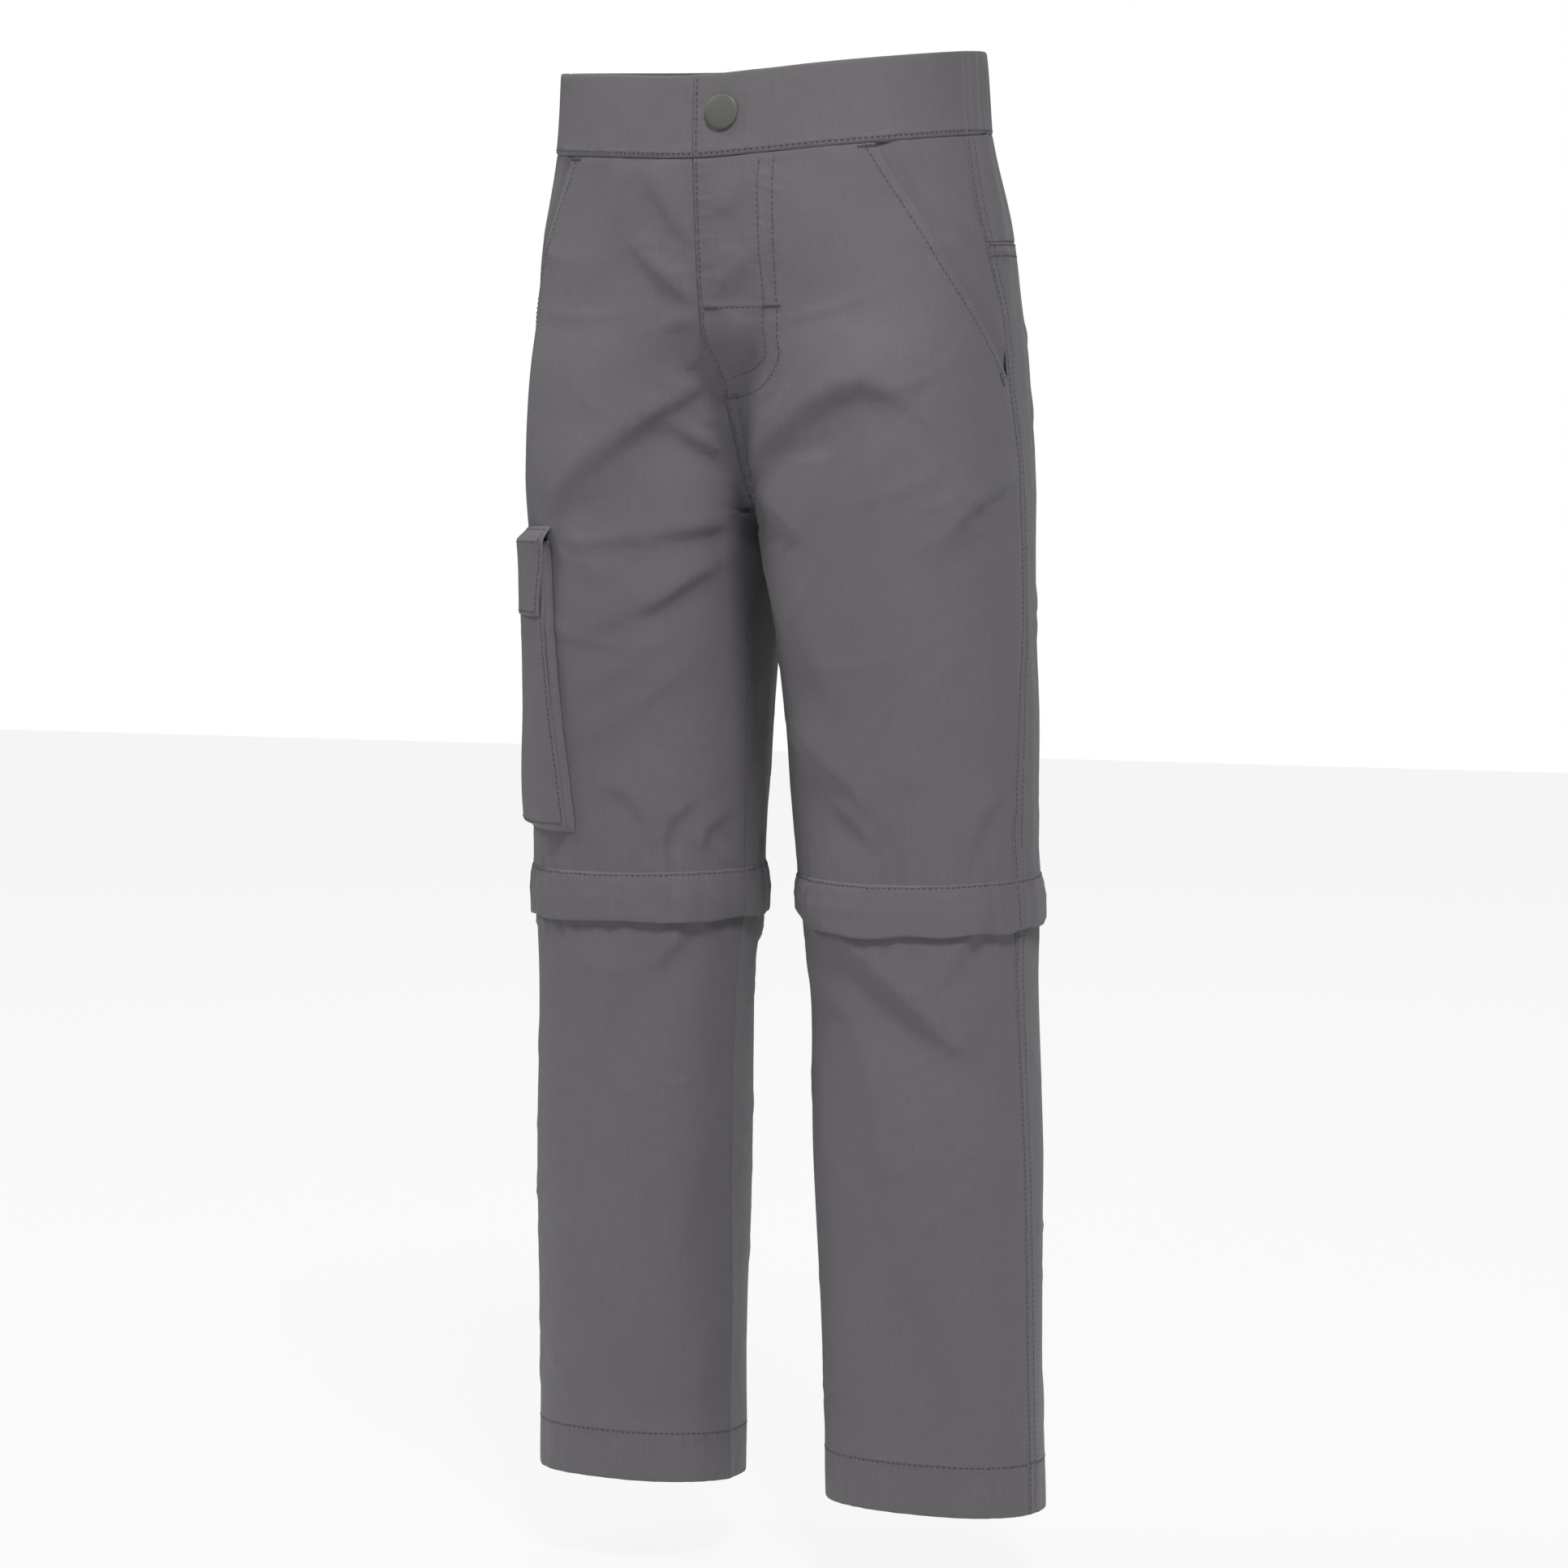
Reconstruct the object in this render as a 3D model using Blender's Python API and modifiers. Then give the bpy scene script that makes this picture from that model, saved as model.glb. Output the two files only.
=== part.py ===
"""Zip-off trousers for a child, filled out as if worn.

The cloth is laid round the body as horizontal sections. +Z is up, the front faces -Y and the
wearer's left side is at +X. The origin is the centre of the waist opening, where they are worn.
Lengths in this file are millimetres, and heights are given as the drop below the waist's edge.
"""

import math

import bmesh
import bpy
import numpy as np
from mathutils import Vector

MM = 0.001
LEFT, RIGHT = 1, -1
NAMES = {LEFT: "left", RIGHT: "right"}

# The garment's main heights, as drops below the waist's top edge.
WAIST_SEAM = 38.0
YOKE_SEAM = 87.0
POCKET_END = 150.0
FLY_END = 169.0
CROTCH = 225.0
BAND_TOP = 379.0
ZIP_TOP = 388.5
ZIP_BOTTOM = 394.5
BAND_BOTTOM = 403.0
HEM_STITCH = 655.0
SIDE_LENGTH = 679.0

# The cloth and how its pieces lie on each other.
CLOTH = 1.5
TAPE = 1.0
GAP = 0.3
LAYER = CLOTH + GAP
INSIDE = LAYER + 0.5
BAND_STAND = 0.6
FLARE = 2.6

# The fly and the hip pockets.
FLY_LAP = 3.0
UNDERLAP = 20.0
UNDERLAP_END = 147.0
LAP_FADE = 15.0
FACING_UNDER = 14.0
FACING_RISE = 9.0

# The snap on the waistband.
SNAP_ACROSS = 11.5
SNAP_DROP = 17.5
SNAP_RADIUS = 8.0
SNAP_HEIGHT = 2.6
STUD_RADIUS = 5.5

# The cargo pocket on the right thigh, round the leg from its middle and down from its top.
CARGO_MIDDLE = -9.0
CARGO_WIDTH = 124.0
CARGO_SPREAD = 5.0
CARGO_TOP = 224.0
CARGO_BOTTOM = 358.0
CARGO_DEPTH = 2.8
CARGO_FOOT = 3.0
FLAP_TOP = 217.0
FLAP_BOTTOM = 259.0
FLAP_WIDTH = 134.0
FLAP_TAPER = 6.0

WAIST_GATHERS = 22
GATHER_DEPTH = 0.9
THIGH_EASE = {LEFT: 1.7, RIGHT: -2.6}
ROUND_FRONT = 24.0
BACK_FULLNESS = 1.5

# Half of the garment at each drop: an oval round centre_x and centre_y, cut off at the middle.
SECTION_COLUMNS = "drop centre_x outer inner front back centre_y power lean curve".split()
SECTIONS = np.array(
    [
        (-8, 0, 103, 103, 79, 76, -1, 2.15, 0.11, 0.046),
        (38, 0, 106, 106, 81, 82, -1, 2.15, 0.10, 0.046),
        (82, 12, 103, 100, 79, 88, 0, 2.15, 0.08, 0.040),
        (117, 30, 88, 80, 76, 91, 0, 2.15, 0.06, 0.030),
        (137, 46, 73.5, 64, 75, 92, 0, 2.15, 0.05, 0.020),
        (168, 55, 66, 62.5, 74, 91, 0, 2.15, 0.02, 0.010),
        (199, 59.5, 62, 62.5, 73, 86, 0, 2.15, 0.01, 0),
        (218, 61.5, 60, 61.8, 71, 80, 0, 2.15, 0, 0),
        (225, 62, 59.5, 62, 70, 78, 0, 2.15, 0, 0),
        (257, 65, 57.5, 60, 67, 70, 1, 2.15, 0, 0),
        (297, 68, 56.5, 58, 63, 64, 3, 2.15, 0, 0),
        (342, 70, 56, 57, 58, 59, 5, 2.15, 0.01, 0),
        (382, 71, 55.5, 55, 55, 56, 7, 2.15, 0.02, 0),
        (427, 72, 53.5, 52, 52, 53, 9, 2.15, 0.02, 0),
        (517, 74, 52.5, 51.5, 50, 51, 11, 2.2, -0.03, 0),
        (597, 76, 51.5, 50.5, 48, 49, 13, 2.25, -0.07, 0),
        (690, 78, 51, 50, 46, 47, 15, 2.3, -0.11, 0),
    ]
)

# How many degrees each seam lies in front of the leg's outermost and innermost line.
SEAM_COLUMNS = "drop side_turn inner_turn".split()
SEAMS = np.array(
    [
        (-8, 10, 0),
        (38, 10, 0),
        (77, 11.5, 0),
        (95, 8.5, 0),
        (114, 3, 0),
        (150, 0, 0),
        (225, -2, 0),
        (260, 1, 13),
        (297, 9, 13.5),
        (342, 13, 12.5),
        (427, 14.5, 10.5),
        (517, 9, 11.5),
        (597, 9, 9),
        (690, 10, 8),
    ]
)

# The slanted edge of the hip pocket's opening, as degrees round from the leg's outer line.
POCKET_COLUMNS = "drop turn".split()
POCKET = np.array([(38, -45), (68, -37), (100, -27), (125, -15), (POCKET_END, 0)])

# The drops at which the panels have rows round the crotch, where the edges curve fastest.
CROTCH_ROWS = (157, 171, 184, 196, 207, 216, 221.5, 224.9, 229, 236, 245, 259)

# The largest folds: the side, three points as (degrees round, drop), half width and depth.
FOLDS = (
    (RIGHT, (-124, 155), (-94, 181), (-66, 216), 10, 2.8),
    (RIGHT, (-116, 172), (-130, 177), (-146, 184), 8, 1.6),
    (RIGHT, (-74, 50), (-92, 90), (-102, 102), 9, 1.6),
    (RIGHT, (-122, 221), (-140, 220), (-158, 215), 8, 1.4),
    (LEFT, (-138, 185), (-98, 168), (-76, 149), 10, 2.8),
    (LEFT, (-76, 149), (-67, 154), (-54, 167), 9, 1.8),
    (LEFT, (3, 196), (-22, 206), (-48, 214), 8, 1.2),
    (LEFT, (-120, 338), (-98, 350), (-77, 368), 9, 1.5),
    (LEFT, (-124, 409), (-85, 436), (-44, 468), 11, 2.8),
    (LEFT, (-38, 412), (-54, 422), (-68, 434), 8, 1.2),
    (LEFT, (135, 182), (105, 204), (70, 226), 12, 2.6),
    (RIGHT, (135, 182), (110, 207), (76, 222), 12, 2.6),
    (LEFT, (158, 246), (130, 262), (104, 266), 9, 1.6),
    (RIGHT, (158, 252), (134, 262), (112, 270), 9, 1.6),
    (LEFT, (165, 414), (130, 430), (92, 446), 11, 2.2),
    (RIGHT, (160, 415), (128, 428), (96, 450), 11, 2.2),
)


def column(table, names, name, drop):
    """One column of a table at any drop, along a smooth curve through its rows."""
    rows = table[:, 0]
    values = table[:, names.index(name)]
    slopes = np.gradient(values, rows)
    drop = np.clip(drop, rows[0], rows[-1])
    i = np.clip(np.searchsorted(rows, drop, side="right") - 1, 0, len(rows) - 2)
    step = rows[i + 1] - rows[i]
    t = (drop - rows[i]) / step
    start = (2 * t**3 - 3 * t**2 + 1) * values[i] + (t**3 - 2 * t**2 + t) * step * slopes[i]
    end = (3 * t**2 - 2 * t**3) * values[i + 1] + (t**3 - t**2) * step * slopes[i + 1]
    return start + end


def section(name, drop):
    return column(SECTIONS, SECTION_COLUMNS, name, drop)


def seam(name, drop):
    return np.radians(column(SEAMS, SEAM_COLUMNS, name, drop))


def ease(t):
    """0 to 1 with level ends."""
    t = np.clip(t, 0, 1)
    return t * t * (3 - 2 * t)


def fuller(side, drop):
    """How much further out the cloth of one thigh hangs than the table says."""
    return THIGH_EASE[side] * ease((drop - 190) / 50) * (1 - ease((drop - 300) / 50))


def surface(side, turn, drop):
    """The cloth's outer face. turn is 0 at the outer side and below 0 towards the front."""
    turn, drop = np.broadcast_arrays(np.asarray(turn, float), np.asarray(drop, float))
    level, depth = np.cos(turn), np.sin(turn)
    centre, power = section("centre_x", drop), section("power", drop)
    inner = section("inner", drop)
    outer = section("outer", drop) + fuller(side, drop)
    half = np.where(level >= 0, outer, inner)
    x = centre + half * np.sign(level) * np.abs(level) ** (2 / power)
    soft = np.clip(2 * (inner - centre), 1e-6, ROUND_FRONT)
    rounded = np.where((x < soft) & (drop < CROTCH), (x * x + soft * soft) / (2 * soft), x)
    share = np.clip(np.abs(rounded - centre) / np.where(rounded < centre, inner, outer), 0, 1)
    full = np.where((depth > 0) & (rounded < centre) & (drop < CROTCH), BACK_FULLNESS, 1)
    full = 1 + (full - 1) * (1 - ease((drop - 137) / (CROTCH - 137)))
    reach = (1 - share ** (power * full)) ** (1 / power)
    extent = np.where(depth < 0, -section("front", drop), section("back", drop))
    y = section("centre_y", drop) + extent * reach
    z = -drop + section("lean", drop) * y - section("curve", drop) * y * y / 100
    return np.stack([side * x, y, z], -1)


def arc(turn, drop):
    """How far round the leg a turn is from its outer side."""
    return turn * (section("outer", drop) + section("front", drop)) / 2


def fold_depth(side, turn, drop):
    """How deep the large folds press the cloth in, deepest halfway along each."""
    total = np.zeros(np.broadcast(turn, drop).shape)
    for fold_side, *points, half, depth in FOLDS:
        if fold_side != side:
            continue
        line = [(arc(math.radians(a), d), d) for a, d in points]
        nearest, along = np.full(total.shape, np.inf), np.zeros(total.shape)
        for i, ((x1, z1), (x2, z2)) in enumerate(zip(line, line[1:])):
            span_x, span_z = x2 - x1, z2 - z1
            away_x, away_z = arc(turn, drop) - x1, drop - z1
            share = (away_x * span_x + away_z * span_z) / (span_x**2 + span_z**2)
            share = np.clip(share, 0, 1)
            away = np.hypot(away_x - share * span_x, away_z - share * span_z)
            along = np.where(away < nearest, (i + share) / 2, along)
            nearest = np.minimum(nearest, away)
        fade = 0.3 + 0.7 * np.sin(np.pi * along)
        total = total + depth * fade * np.exp(-((nearest / half) ** 2))
    return total


def skin(side, turn, drop, out, limit=GAP / 2):
    """A point on the cloth, out millimetres outside its face and past the limit in X."""
    step = 1e-3
    point = surface(side, turn, drop)
    round_it = surface(side, turn + step, drop) - surface(side, turn - step, drop)
    down = surface(side, turn, drop + 0.5) - surface(side, turn, drop - 0.5)
    normal = -side * np.cross(round_it, down)
    normal = normal / np.linalg.norm(normal, axis=-1, keepdims=True)
    out = np.asarray(out - fold_depth(side, turn, drop))
    point = point + normal * out[..., None]
    point[..., 0] = side * np.maximum(side * point[..., 0], limit)
    return point


def moved(side, turn, drop, distance):
    """The turn that lies a distance further round, towards the back."""
    step = 1e-3
    span = surface(side, turn + step, drop) - surface(side, turn - step, drop)
    return turn + distance * 2 * step / np.maximum(np.linalg.norm(span, axis=-1), 1e-6)


def centre_edge(drop, past=-GAP / 2):
    """The turn of the centre line, or of a line that lies past it, up to the crotch."""
    share = np.clip((section("centre_x", drop) + past) / section("inner", drop), -1, 1)
    cut = np.sign(share) * np.abs(share) ** (section("power", drop) / 2)
    return np.where(drop >= CROTCH, np.pi, np.arccos(-cut))


def front_edge(side, drop, past=-GAP / 2):
    """The front panel's inner edge: the front rise, and the inseam below the crotch."""
    inseam = moved(side, seam("inner_turn", drop) - np.pi, drop, GAP / 2)
    return np.where(drop >= CROTCH, inseam, -centre_edge(drop, past))


def back_edge(side, drop):
    """The back panel's inner edge: the back rise, and the inseam below the crotch."""
    inseam = moved(side, seam("inner_turn", drop) + np.pi, drop, -GAP / 2)
    return np.where(drop >= CROTCH, inseam, centre_edge(drop))


def side_edge(side, drop, towards):
    """The side seam, half a gap towards the front (-1) or the back (1)."""
    return moved(side, -seam("side_turn", drop), drop, towards * GAP / 2)


def pocket_edge(drop):
    """The slanted edge of the hip pocket's opening."""
    return np.radians(column(POCKET, POCKET_COLUMNS, "turn", drop))


def make_material(name, colour, roughness, metallic=0.0):
    material = bpy.data.materials.new(name)
    material.use_nodes = True
    shader = material.node_tree.nodes["Principled BSDF"]
    shader.inputs["Base Color"].default_value = (*colour, 1)
    shader.inputs["Roughness"].default_value = roughness
    shader.inputs["Metallic"].default_value = metallic
    return material


def add_object(name, mesh, colour, roughness, metallic=0.0):
    """Links a piece to the garment's collection, with a material of its own."""
    piece = bpy.data.objects.new(name, mesh)
    mesh.materials.append(make_material(name, colour, roughness, metallic))
    bpy.data.collections["zip_off_trousers"].objects.link(piece)
    return piece


def sheet(name, shape, across, down):
    """A closed wall: a grid of shares across and down, doubled, and moved to its place by shape."""
    bm = bmesh.new()
    bmesh.ops.create_grid(bm, x_segments=across, y_segments=down, size=0.5)
    bmesh.ops.translate(bm, verts=bm.verts, vec=(0.5, 0.5, 0))
    doubled = bmesh.ops.extrude_face_region(bm, geom=bm.faces[:])
    inside = [v for v in doubled["geom"] if isinstance(v, bmesh.types.BMVert)]
    bmesh.ops.translate(bm, verts=inside, vec=(0, 0, 1))
    shares = np.array([v.co for v in bm.verts])
    points = shape(shares[:, 0], shares[:, 1], shares[:, 2])
    for vert, point in zip(bm.verts, points * MM):
        vert.co = point
    bmesh.ops.recalc_face_normals(bm, faces=bm.faces[:])
    if bm.calc_volume(signed=True) < 0:
        bmesh.ops.reverse_faces(bm, faces=bm.faces[:])
    mesh = bpy.data.meshes.new(name)
    bm.to_mesh(mesh)
    bm.free()
    return add_object(name, mesh, (0.155, 0.145, 0.155), 0.85)


def spaced(stops, share):
    """Spreads even shares over a list of stops."""
    return np.interp(share, np.linspace(0, 1, len(stops)), stops)


def panel(name, side, start, end, drops, across, out=None, thick=CLOTH, limit=None, first=None):
    """A piece between two edges, with a row at each of the drops."""
    limit = limit or (lambda drop: GAP / 2)
    out = out or (lambda turn, drop: 0 * turn)

    def shape(u, v, layer):
        drop = spaced(drops, v)
        a, b = start(side, drop), end(side, drop)
        if first:
            lead = first / np.maximum(np.abs(arc(b - a, drop)), 3 * first)
            u = np.where(u < 1 / across, u * across * lead, lead + (u * across - 1) / (across - 1) * (1 - lead))
        turn = a + (b - a) * u
        return skin(side, turn, drop, out(turn, drop) - thick * layer, limit(drop))

    return sheet(name, shape, across, len(drops) - 1)


def rows(start, end, step, extra=()):
    """Even rows from start to end, half a gap inside them, with extra ones where form is fine."""
    start, end = start + GAP / 2, end - GAP / 2
    even = np.linspace(start, end, max(2, round((end - start) / step) + 1))
    near = [d for d in even if all(abs(d - e) > step / 3 for e in extra) or d in (start, end)]
    return np.array(sorted(set(near) | set(extra)))


def underlap(drop):
    """How far the right front goes on under the left one, narrowing down the fly."""
    return UNDERLAP * (1 - ease((drop - UNDERLAP_END + 45) / 45))


def lap(drop):
    """How far the left front goes past the centre line, over the right one."""
    return FLY_LAP * (1 - ease((drop - UNDERLAP_END + 22) / 20))


def lap_rise(turn, drop):
    """How far the left front lies over the right one along the fly and the waistband."""
    away = surface(LEFT, turn, drop)[..., 0]
    over = 1 - ease((away - underlap(drop) - 2) / LAP_FADE)
    return (INSIDE + 0.2) * over * (1 - ease((drop - UNDERLAP_END) / (FLY_END - UNDERLAP_END)))


def make_fronts():
    """The front panels, from the waist seam to the knee zip, with the slanted pocket edge."""
    drops = rows(WAIST_SEAM, ZIP_TOP, 17, CROTCH_ROWS)

    def outer(side, drop):
        return np.where(drop < POCKET_END, pocket_edge(drop), side_edge(side, drop, -1))

    for side, past in ((LEFT, lap), (RIGHT, underlap)):

        def inner(side, drop, past=past):
            return front_edge(side, drop, past(drop) - GAP / 2)

        limit = lambda drop, past=past: GAP / 2 - past(drop)
        rise = lap_rise if side == LEFT else None
        panel("front_" + NAMES[side], side, inner, outer, drops, 12, rise, limit=limit, first=8)


def make_backs():
    """The yokes and the back panels."""
    for side in (LEFT, RIGHT):

        def start(side, drop):
            return side_edge(side, drop, 1)

        def gathered(turn, drop):
            share = (turn + seam("side_turn", drop)) / (np.pi / 2)
            fade = 1 - ease((drop - WAIST_SEAM) / (YOKE_SEAM - WAIST_SEAM))
            return -GATHER_DEPTH * fade * ease(share * 6) * (0.5 + 0.5 * np.cos(22 * share))

        name = NAMES[side]
        panel("yoke_" + name, side, start, back_edge, rows(WAIST_SEAM, YOKE_SEAM, 17), 14, gathered)
        drops = rows(YOKE_SEAM, ZIP_TOP, 17, CROTCH_ROWS)
        panel("back_" + name, side, start, back_edge, drops, 12)


def make_waistband():
    """Two fronts that snap together and a gathered elastic back."""
    drops = rows(0, WAIST_SEAM, 21)
    for side, past in ((LEFT, FLY_LAP), (RIGHT, UNDERLAP)):

        def start(side, drop, past=past):
            return -centre_edge(drop, past)

        def out(turn, drop, side=side):
            return BAND_STAND + (lap_rise(turn, drop) if side == LEFT else 0 * turn)

        name = "waistband_front_" + NAMES[side]
        end = lambda side, drop: side_edge(side, drop, -1)
        panel(name, side, start, end, drops, 12, out, limit=lambda drop, past=past: -past, first=8)

    def back(u, v, layer):
        drop = spaced(drops, v)
        across = 2 * u - 1
        side = np.where(across < 0, -1, 1)
        edge = moved(LEFT, -seam("side_turn", drop), drop, GAP / 2)
        turn = np.pi / 2 - (np.pi / 2 - edge) * np.abs(across)
        fade = ease((1 - np.abs(across)) * 8)
        wave = 0.5 + 0.5 * np.cos(WAIST_GATHERS * np.pi * across * (1 + 0.06 * np.sin(5 * across)))
        out = BAND_STAND - GATHER_DEPTH * fade * wave - CLOTH * layer
        point = skin(LEFT, turn, drop, out, -1e3)
        point[..., 0] *= side
        return point

    sheet("waistband_back", back, 4 * WAIST_GATHERS, 2)


def make_pocket_facings():
    """The pieces behind the slanted openings, tucked under the fronts."""
    for side in (LEFT, RIGHT):

        def start(side, drop):
            return moved(side, pocket_edge(drop), drop, -FACING_UNDER)

        def end(side, drop):
            edge = moved(side, side_edge(side, drop, -1), drop, -GAP)
            return np.maximum(edge, pocket_edge(drop) + 0.01)

        def out(turn, drop):
            past = arc(turn - pocket_edge(drop), drop)
            return -(INSIDE + 0.3) * (1 - ease((past - 2.5) / FACING_RISE))

        drops = rows(WAIST_SEAM, POCKET_END - 8, 17)
        panel("pocket_facing_" + NAMES[side], side, start, end, drops, 7, out)


def make_fly_zip():
    """The closed fly's zip tape, behind both fronts."""

    def start(side, drop):
        return -centre_edge(drop, 2)

    def end(side, drop):
        return -centre_edge(drop, -26)

    drops = rows(WAIST_SEAM + 4, UNDERLAP_END - 26, 17)
    panel("fly_zip", LEFT, start, end, drops, 4, lambda t, d: 0 * t - INSIDE, TAPE, lambda d: -2)


def ring(name, side, drops, across, out, thick=CLOTH):
    """A strip right round a leg, its ends meeting at the inseam."""

    def start(side, drop):
        return moved(side, seam("inner_turn", drop) - np.pi, drop, GAP / 2)

    def end(side, drop):
        return moved(side, seam("inner_turn", drop) + np.pi, drop, -GAP / 2)

    panel(name, side, start, end, drops, across, out, thick)


def make_knees():
    """The zip that each leg comes off at, and the band that covers it."""
    tape_drops = ZIP_TOP + np.array([-5.5, -0.1, 0.4, 5.6, 6.1, 11.5])

    def tape(turn, drop):
        middle = (ZIP_TOP + ZIP_BOTTOM) / 2
        chain = np.abs(drop - middle) < (ZIP_BOTTOM - ZIP_TOP) / 2 - 0.2
        return 0 * turn - INSIDE + np.where(chain, INSIDE - 0.4, 0)

    def band(turn, drop):
        share = (drop - BAND_TOP) / (BAND_BOTTOM - BAND_TOP)
        uneven = 1 + 0.25 * np.sin(2 * turn + 0.6) + 0.12 * np.sin(5 * turn)
        return INSIDE + FLARE * uneven * ease(share * 1.1)

    for side in (LEFT, RIGHT):
        ring("knee_zip_" + NAMES[side], side, tape_drops, 24, tape, TAPE)
        drops = np.linspace(BAND_TOP, BAND_BOTTOM, 4)
        ring("knee_band_" + NAMES[side], side, drops, 24, band)


def make_lower_legs():
    """The parts that zip off: a front and a back each, with a turned-up hem inside."""
    drops = rows(ZIP_BOTTOM, SIDE_LENGTH, 30, (409, 425, 441, 457))
    for side in (LEFT, RIGHT):
        before = lambda side, drop: side_edge(side, drop, -1)
        after = lambda side, drop: side_edge(side, drop, 1)
        panel("lower_front_" + NAMES[side], side, front_edge, before, drops, 11)
        panel("lower_back_" + NAMES[side], side, after, back_edge, drops, 11)
        inside = lambda turn, drop: 0 * turn - INSIDE
        hem = np.array([HEM_STITCH, SIDE_LENGTH - GAP / 2])
        ring("hem_" + NAMES[side], side, hem, 24, inside, TAPE)


def cargo_half(share):
    """The cargo bag's half width at a share of its height."""
    return CARGO_WIDTH / 2 + CARGO_SPREAD * share


def cargo_place(away, drop, out):
    """A point of the cargo pocket, away millimetres round from its middle line."""
    turn = np.radians(CARGO_MIDDLE) + away / ((section("outer", drop) + section("front", drop)) / 2)
    return skin(RIGHT, turn, drop, out)


def make_cargo_pocket():
    """A bag that stands off the thigh on a sloping gusset, under a flap."""
    stand = LAYER + CARGO_DEPTH

    def bag(u, v, layer):
        belly = 1.2 * np.sin(np.pi * u) * np.sin(np.pi * v)
        drop = CARGO_TOP + (CARGO_BOTTOM - CARGO_TOP) * v
        return cargo_place(cargo_half(v) * (2 * u - 1), drop, stand + belly - CLOTH * layer)

    sheet("cargo_bag", bag, 10, 10)
    steps = 10
    front = [(-1, i / steps, -1, 0) for i in range(steps)]
    under = [(2 * i / steps - 1, 1, 0, 1) for i in range(1, steps)]
    behind = [(1, 1 - (i + 1) / steps, 1, 0) for i in range(steps)]
    path = np.array(front + [(-1, 1, -1, 1)] + under + [(1, 1, 1, 1)] + behind, float)

    def gusset(u, v, layer):
        stops = np.linspace(0, 1, len(path))
        across, down, to_side, to_floor = (np.interp(u, stops, path[:, k]) for k in range(4))
        spread = CARGO_FOOT * (1 - v) - LAYER * layer
        drop = CARGO_TOP + (CARGO_BOTTOM - CARGO_TOP) * down + to_floor * spread
        foot = INSIDE + 0.2
        out = foot - CLOTH * layer + (stand - CLOTH - GAP - foot) * v
        return cargo_place(cargo_half(down) * across + to_side * spread, drop, out)

    sheet("cargo_gusset", gusset, len(path) - 1, 2)

    def flap(u, v, layer):
        drop = spaced(np.array([FLAP_TOP, FLAP_TOP + 5, 240.0, 251.0, FLAP_BOTTOM]), v)
        rise = ease((drop - FLAP_TOP) / 5)
        wide = FLAP_WIDTH / 2 - FLAP_TAPER * ease((drop - FLAP_TOP) / (FLAP_BOTTOM - FLAP_TOP))
        out = INSIDE + 0.2 + (stand + 0.3) * rise - CLOTH * layer
        return cargo_place(wide * (2 * u - 1), drop, out)

    sheet("cargo_flap", flap, 10, 4)


def turned(name, profile, place, facing, colour, roughness):
    """A turned piece: (radius, height) points screwed round its axis, set on the cloth."""
    mesh = bpy.data.meshes.new(name)
    bm = bmesh.new()
    verts = [bm.verts.new((r * MM, 0, z * MM)) for r, z in profile]
    for a, b in zip(verts, verts[1:]):
        bm.edges.new((a, b))
    bm.to_mesh(mesh)
    bm.free()
    piece = add_object(name, mesh, colour, roughness)
    screw = piece.modifiers.new("turn", "SCREW")
    screw.steps = screw.render_steps = 24
    screw.use_merge_vertices = True
    screw.merge_threshold = 0.00001
    screw.use_normal_calculate = True
    piece.location = place * MM
    piece.rotation_mode = "QUATERNION"
    piece.rotation_quaternion = facing
    return piece


def make_snap():
    """The snap's domed cap outside and its stud behind the right waistband."""
    edge = -centre_edge(SNAP_DROP, -SNAP_ACROSS)
    base = skin(LEFT, edge, SNAP_DROP, BAND_STAND, -1e3)
    top = skin(LEFT, edge, SNAP_DROP, BAND_STAND + 10, -1e3)
    direction = Vector((top - base) / np.linalg.norm(top - base))
    facing = direction.to_track_quat("Z", "Y")
    lift = np.array(direction)
    curve = [(SNAP_RADIUS * math.cos(a), 0.9 + (SNAP_HEIGHT - 0.9) * math.sin(a)) for a in np.linspace(0, math.pi / 2, 7)]
    cap = [(0, 0), (SNAP_RADIUS - 0.8, 0), (SNAP_RADIUS, 0.5)] + curve[:-1] + [(0, SNAP_HEIGHT)]
    turned("snap_cap", cap[::-1], base + lift * (INSIDE + 2 * GAP), facing, (0.2, 0.21, 0.19), 0.5)
    stud = [(0, 0), (STUD_RADIUS - 1, 0), (STUD_RADIUS, 0.5), (STUD_RADIUS, 1.2), (0, 1.2)]
    turned("snap_stud", stud[::-1], base - lift * (CLOTH + GAP + 1.2), facing, (0.4, 0.4, 0.4), 0.4)


def main():
    for piece in list(bpy.data.objects):
        bpy.data.objects.remove(piece, do_unlink=True)
    garment = bpy.data.collections.new("zip_off_trousers")
    bpy.context.scene.collection.children.link(garment)
    make_waistband()
    make_fronts()
    make_pocket_facings()
    make_fly_zip()
    make_backs()
    make_knees()
    make_lower_legs()
    make_cargo_pocket()
    make_snap()


main()
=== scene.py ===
"""The look of a child's zip-off trousers, filled out as if worn.

Each panel is a thin wall of cloth, laid on its solid's form and pressed into folds, and its seams
are sewn with separate stitches. Sizes in this file are millimetres unless a property's unit says
otherwise. +Z is up, the front faces -Y, the wearer's left side is at +X, and heights are given as
the drop below the waist's top edge.
"""

import math

import bmesh
import bpy
import numpy as np
from mathutils import Matrix, Vector


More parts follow.
